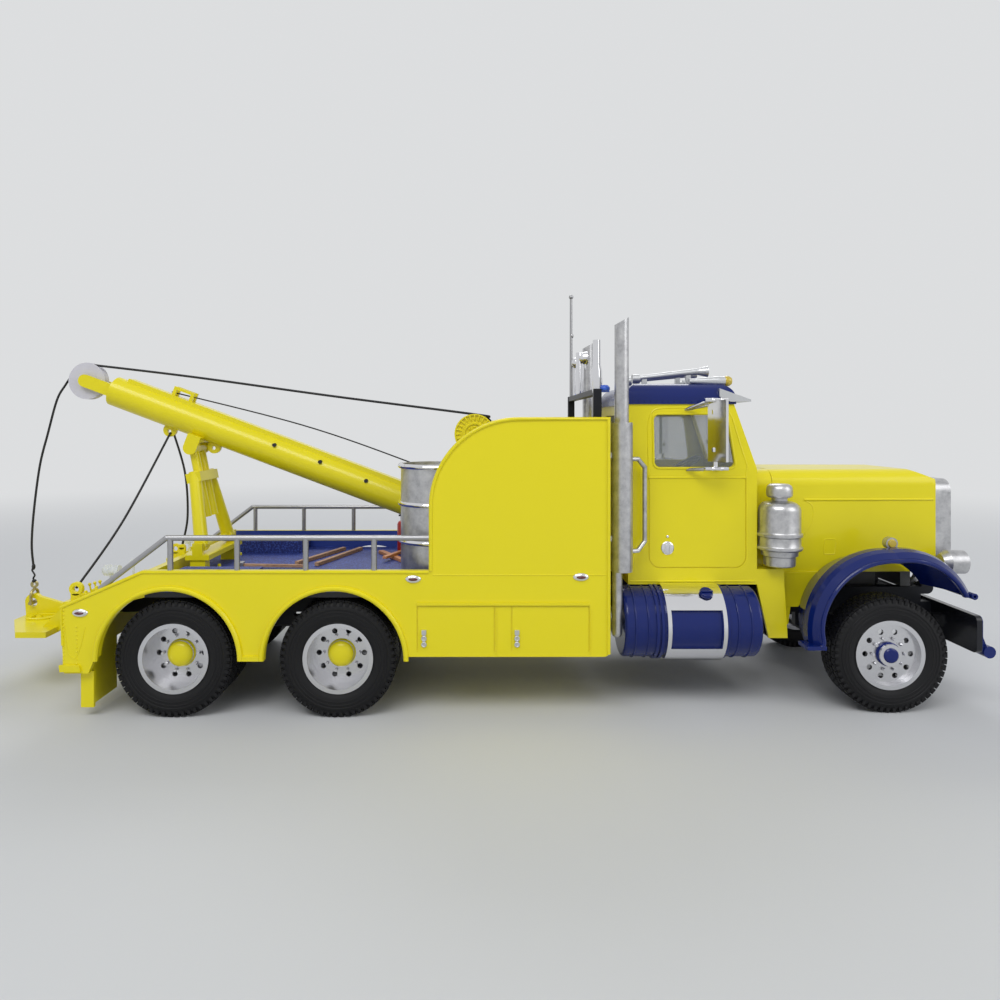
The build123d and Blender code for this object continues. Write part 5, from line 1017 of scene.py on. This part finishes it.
hoist = curved([(5.2, -12.0, 104.6), (2.8, -13.0, 107.6), (-2.0, -14.0, 108.9), (-60.0, -8.0, 116.4),
                (-120.0, -3.0, 124.7), (-166.4, 0.0, 130.3)], 10)
blended(Shape().tube(hoist, rope["main"]), "hoistLine", (-6.0, 0, 107.6), (-164.0, 0, 130.0))
around = besideRow(arcPoints(wrap["x"], wrap["z"], wrap["radius"], *wrap["turn"], 14), 0.0)
Shape().tube(around, rope["hang"]).done("sheaveLine", "lineThread", 0, "boom_body", 80)
hang = curved([(-171.2, 0, 127.8), (-175.6, 0, 121.4), (-179.1, 0, 115.2), (-182.9, 0, 101.2),
               (-186.3, 0, 87.7), (-188.8, 0, 69.0), (-189.8, 0, 54.2), (-189.0, 0, 44.6)], 6)
blended(Shape().tube(hang, rope["hang"]), "hangingLine", (-189.0, 0, 46.0), (-173.0, 0, 124.0))
tie = curved([(-189.0, 0, 44.6), (-189.9, 0.5, 43.0), (-188.2, -0.5, 41.2), (-189.4, 0.4, 39.6),
              (-188.6, 0, 38.2)], 6)
knots = Shape().tube(tie, rope["tie"], 8)
knots.ball((-189.0, 0, 44.6), 0.9, (0.8, 0.8, 1.5)).ball((-188.7, 0, 38.6), 0.9, (1, 1, 0.8))
blended(knots, "hookLine", (-189.0, 0, 44.8), (-188.6, 0, 38.0), "tow_bar_body")
control = curved([(-130.4, 0, 118.6), (-74.3, -4.0, 104.6), (-31.0, -7.5, 90.0), (3.0, -7.4, 76.0)], 10)
blended(Shape().tube(control, rope["thin"], 8), "controlLine", (3.0, 0, 76.0), (-129.0, 0, 118.0))
stay = curved([(-130.6, -0.9, 101.4), (-139.0, -24.0, 67.5), (-147.0, -42.6, 45.2)], 12)
blended(Shape().tube(stay, rope["hang"]), "sideStay", (-146.6, -41.6, 46.4), (-130.6, -0.9, 100.8))
drop = curved([(-129.8, 0.9, 100.4), (-125.0, 0.4, 84.0), (-123.8, 0, 66.0), (-126.0, 0, 54.0)], 10)
blended(Shape().tube(drop, rope["hang"]), "middleStay", (-126, 0, 54.0), (-129.6, 0.9, 99.6))

# shackle in the tow bar's lug, with a ring above it
shackle = {"x": -188.6, "z": 29.8, "half": 2.4, "rise": 3.0, "wire": 0.6, "ringRise": 7.4,
           "ring": [(0.7, -0.45), (1.5, -0.45), (1.5, 0.45), (0.7, 0.45)]}
x, z, half, top = shackle["x"], shackle["z"], shackle["half"], shackle["z"] + shackle["rise"]
bow = [(x, y, high) for y, high in arcPoints(0, top, half, 180, 0, 12)]
hook = Shape().tube([(x, -half, z), (x, -half, top)] + bow + [(x, half, top), (x, half, z)], shackle["wire"])
hook.rod((x, -half - 0.8, z), (x, half + 0.8, z), 0.8, None, 16)
hook.lathe(shackle["ring"], (x, 0, z + shackle["ringRise"]), (0, 1, 0), 20)
hook.done("towShackle", "paleBrass", 0.05, "tow_bar_body")

# raised ring and boss cast on each half of the tow plate
relief = {"z": 24.9, "wire": 0.55, "boss": (-183.4, -5.2), "bossRadii": (1.3, 1.0),
          "outline": ((-186.0, -9.0), (-180.0, -9.0), (-177.4, -6.6), (-176.6, -3.4), (-177.4, -1.6),
                      (-180.0, -1.4), (-186.0, -1.4), (-186.0, -9.0))}
plateRing = Shape().tube([(x, y, relief["z"]) for x, y in relief["outline"]], relief["wire"])
plateRing.post(*relief["boss"], (relief["z"] - 0.4, relief["z"] + 0.8), *relief["bossRadii"], 16)
plateRing.mirror().done("plateRings", "yellowPaint", 0, "tow_bar_body")
print("rigging done")

# deck load: extinguisher, two timbers and a handle, three orange bars, a hammer's head
deckFloor = 45.0
bottle = {"x": -36.0, "y": 30.0, "height": 15.2, "top": 18.0, "profile": [
    (0, 0), (2.45, 0), (2.5, 0.6), (2.5, 13.6), (1.9, 14.8), (0.9, 15.3), (0, 15.3)]}
timber = {"long": (((-78.0, 1.5), (-64.6, 38.0)), ((-69.0, -1.0), (-56.6, 38.0))), "size": (1.9, 1.6),
          "handle": ((-99.6, -4.4), (-71.6, -6.8)), "handleSize": (1.2, 1.2, 0.6)}
orangeBar = (((-46.0, 30.0), (-31.0, 4.0), 2.6, 1.4), ((-41.5, 8.0), (-32.0, 33.0), 2.0, 1.2, 1.4),
             ((-36.0, 36.0), (-30.5, 14.0), 1.8, 1.4))
hammer = {"x": -100.3, "z": 46.4, "block": ((-102.2, -98.4), (-6.0, -3.0), (45.0, 47.6)),
          "ends": ((-8.0, -5.6, 1.1), (-3.2, -0.6, 0.8))}


def laidBar(shape, start, end, width, height, lift=0.0):
    # square bar lying on the deck from one point to the other
    dx, dy = end[0] - start[0], end[1] - start[1]
    turn = Matrix.Rotation(math.atan2(dy, dx), 4, "Z")
    cx, cy, half = (start[0] + end[0]) / 2, (start[1] + end[1]) / 2, math.hypot(dx, dy) / 2
    z = deckFloor + lift
    return shape.box((cx - half, cx + half), (cy - width / 2, cy + width / 2), (z, z + height), turn)


x, y, z = bottle["x"], bottle["y"], deckFloor
cylinder = Shape().lathe(bottle["profile"], (x, y, z), (0, 0, 1), 28)
valve = Shape().post(x, y, (z + bottle["height"], z + bottle["top"]), 0.95, None, 14)
valve.box((x - 1.8, x + 0.6), (y - 0.5, y + 0.5), (z + bottle["top"] - 0.8, z + bottle["top"]))
timbers = Shape()
for ends in timber["long"]:
    laidBar(timbers, *ends, *timber["size"])
laidBar(timbers, *timber["handle"], *timber["handleSize"])
orange = Shape()
for bar in orangeBar:
    laidBar(orange, *bar)
hammerHead = Shape().box(*hammer["block"])
for near, far, endRadius in hammer["ends"]:
    hammerHead.rod((hammer["x"], near, hammer["z"]), (hammer["x"], far, hammer["z"]), 1.1, endRadius, 14)
for piece in (cylinder.done("extinguisher", "bottleRed"),
              valve.done("extinguisherValve", "blackPlastic", 0.05),
              timbers.done("timbers", "toolWood", 0.15), orange.done("orangeBars", "toolOrange", 0.15),
              hammerHead.done("hammerHead", "steelHead", 0.15)):
    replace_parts(piece, "deck_tools")
print("deck load done")

# stage, lights, camera
camera = {"x": 0.0, "y": -304.0, "z": 104.6, "focal": 718.0, "middleX": 480.0, "middleY": 425.0,
          "frame": 1000.0, "sensor": 36.0}
studio = {"floor": (0.62, 0.63, 0.64), "paper": (0.72, 0.73, 0.74), "sky": (0.92, 0.95, 1.0), "world": 0.42,
          "near": 0.30, "far": 1.10, "reach": 4.0}
# power, place, aim, size
studioLamps = {"key": (6.6, (-0.25, -0.75, 0.95), (0, 0, 0.05), (0.9, 0.5)),
               "fill": (2.2, (0.8, -0.5, 0.5), (0, 0, 0.05), (0.6, 0.6)),
               "rim": (3.8, (0.1, 0.9, 0.9), (0, 0, 0.08), (0.9, 0.4))}


def backdropRays(maker):
    # 1 where the camera, a reflection or a pane looks at the backdrop
    paths = maker.add("ShaderNodeLightPath")
    return paths["Is Camera Ray"] + paths["Is Glossy Ray"] + paths["Is Transmission Ray"]


def paperFloor():
    # pale floor that fades into the backdrop's colour away from the object
    material, maker = newMaterial("floorPaper")
    place = maker.objectPlace()
    noise, bump = grained(maker, place, 1.2, 0.02)
    sheet = maker.add("ShaderNodeBsdfPrincipled", None,
                      {"Base Color": shadeOf(studio["floor"]), "Normal": bump,
                       "Roughness": 0.75 + (noise - 0.5) * 0.1})
    glow = maker.add("ShaderNodeEmission", None, {"Color": shadeOf(studio["paper"]), "Strength": 1.0})
    distance = maker.add("ShaderNodeVectorMath", {"operation": "LENGTH"}, {0: place}, "Value")
    fade = maker.add("ShaderNodeMapRange", {"interpolation_type": "SMOOTHSTEP"},
                     {"Value": distance, "From Min": studio["near"], "From Max": studio["far"]})
    mixed = maker.add("ShaderNodeMixShader", None, {0: fade * backdropRays(maker), 1: sheet, 2: glow})
    maker.add("ShaderNodeOutputMaterial", None, {"Surface": mixed})
    return material


floorMesh = bpy.data.meshes.new("floor")
reach = studio["reach"]
floorMesh.from_pydata([(-reach, -reach, 0), (reach, -reach, 0), (reach, reach, 0), (-reach, reach, 0)], [],
                      [(0, 1, 2, 3)])
floorMesh.materials.append(paperFloor())
linked("floor", floorMesh)

world = bpy.data.worlds.new("studio")
world.use_nodes = True
world.node_tree.nodes.clear()
sky = Maker(world.node_tree)
light = sky.add("ShaderNodeBackground", None, {"Color": shadeOf(studio["sky"]), "Strength": studio["world"]})
paper = sky.add("ShaderNodeBackground", None, {"Color": shadeOf(studio["paper"]), "Strength": 1.0})
mixed = sky.add("ShaderNodeMixShader", None, {0: backdropRays(sky), 1: light, 2: paper})
sky.add("ShaderNodeOutputWorld", None, {"Surface": mixed})
bpy.context.scene.world = world

for name, (power, place, aim, size) in studioLamps.items():
    data = bpy.data.lights.new(name, "AREA")
    data.shape, data.size, data.size_y, data.energy = "RECTANGLE", *size, power
    lamp = linked(name, data)
    lamp.location = place
    lamp.rotation_euler = (Vector(aim) - Vector(place)).to_track_quat("-Z", "Y").to_euler()

cameraData = bpy.data.cameras.new("camera")
cameraData.lens = camera["focal"] / camera["frame"] * camera["sensor"]
cameraData.sensor_width = camera["sensor"]
cameraData.shift_x = (camera["frame"] / 2 - camera["middleX"]) / camera["frame"]
cameraData.shift_y = (camera["middleY"] - camera["frame"] / 2) / camera["frame"]
cameraData.clip_start, cameraData.clip_end = 0.01, 50
cameraObject = linked("camera", cameraData)
cameraObject.location = at(camera["x"], camera["y"], camera["z"])
cameraObject.rotation_euler = (math.radians(90), 0, 0)
bpy.context.scene.camera = cameraObject
bpy.context.scene.view_settings.view_transform = "Standard"
print("stage and camera done")
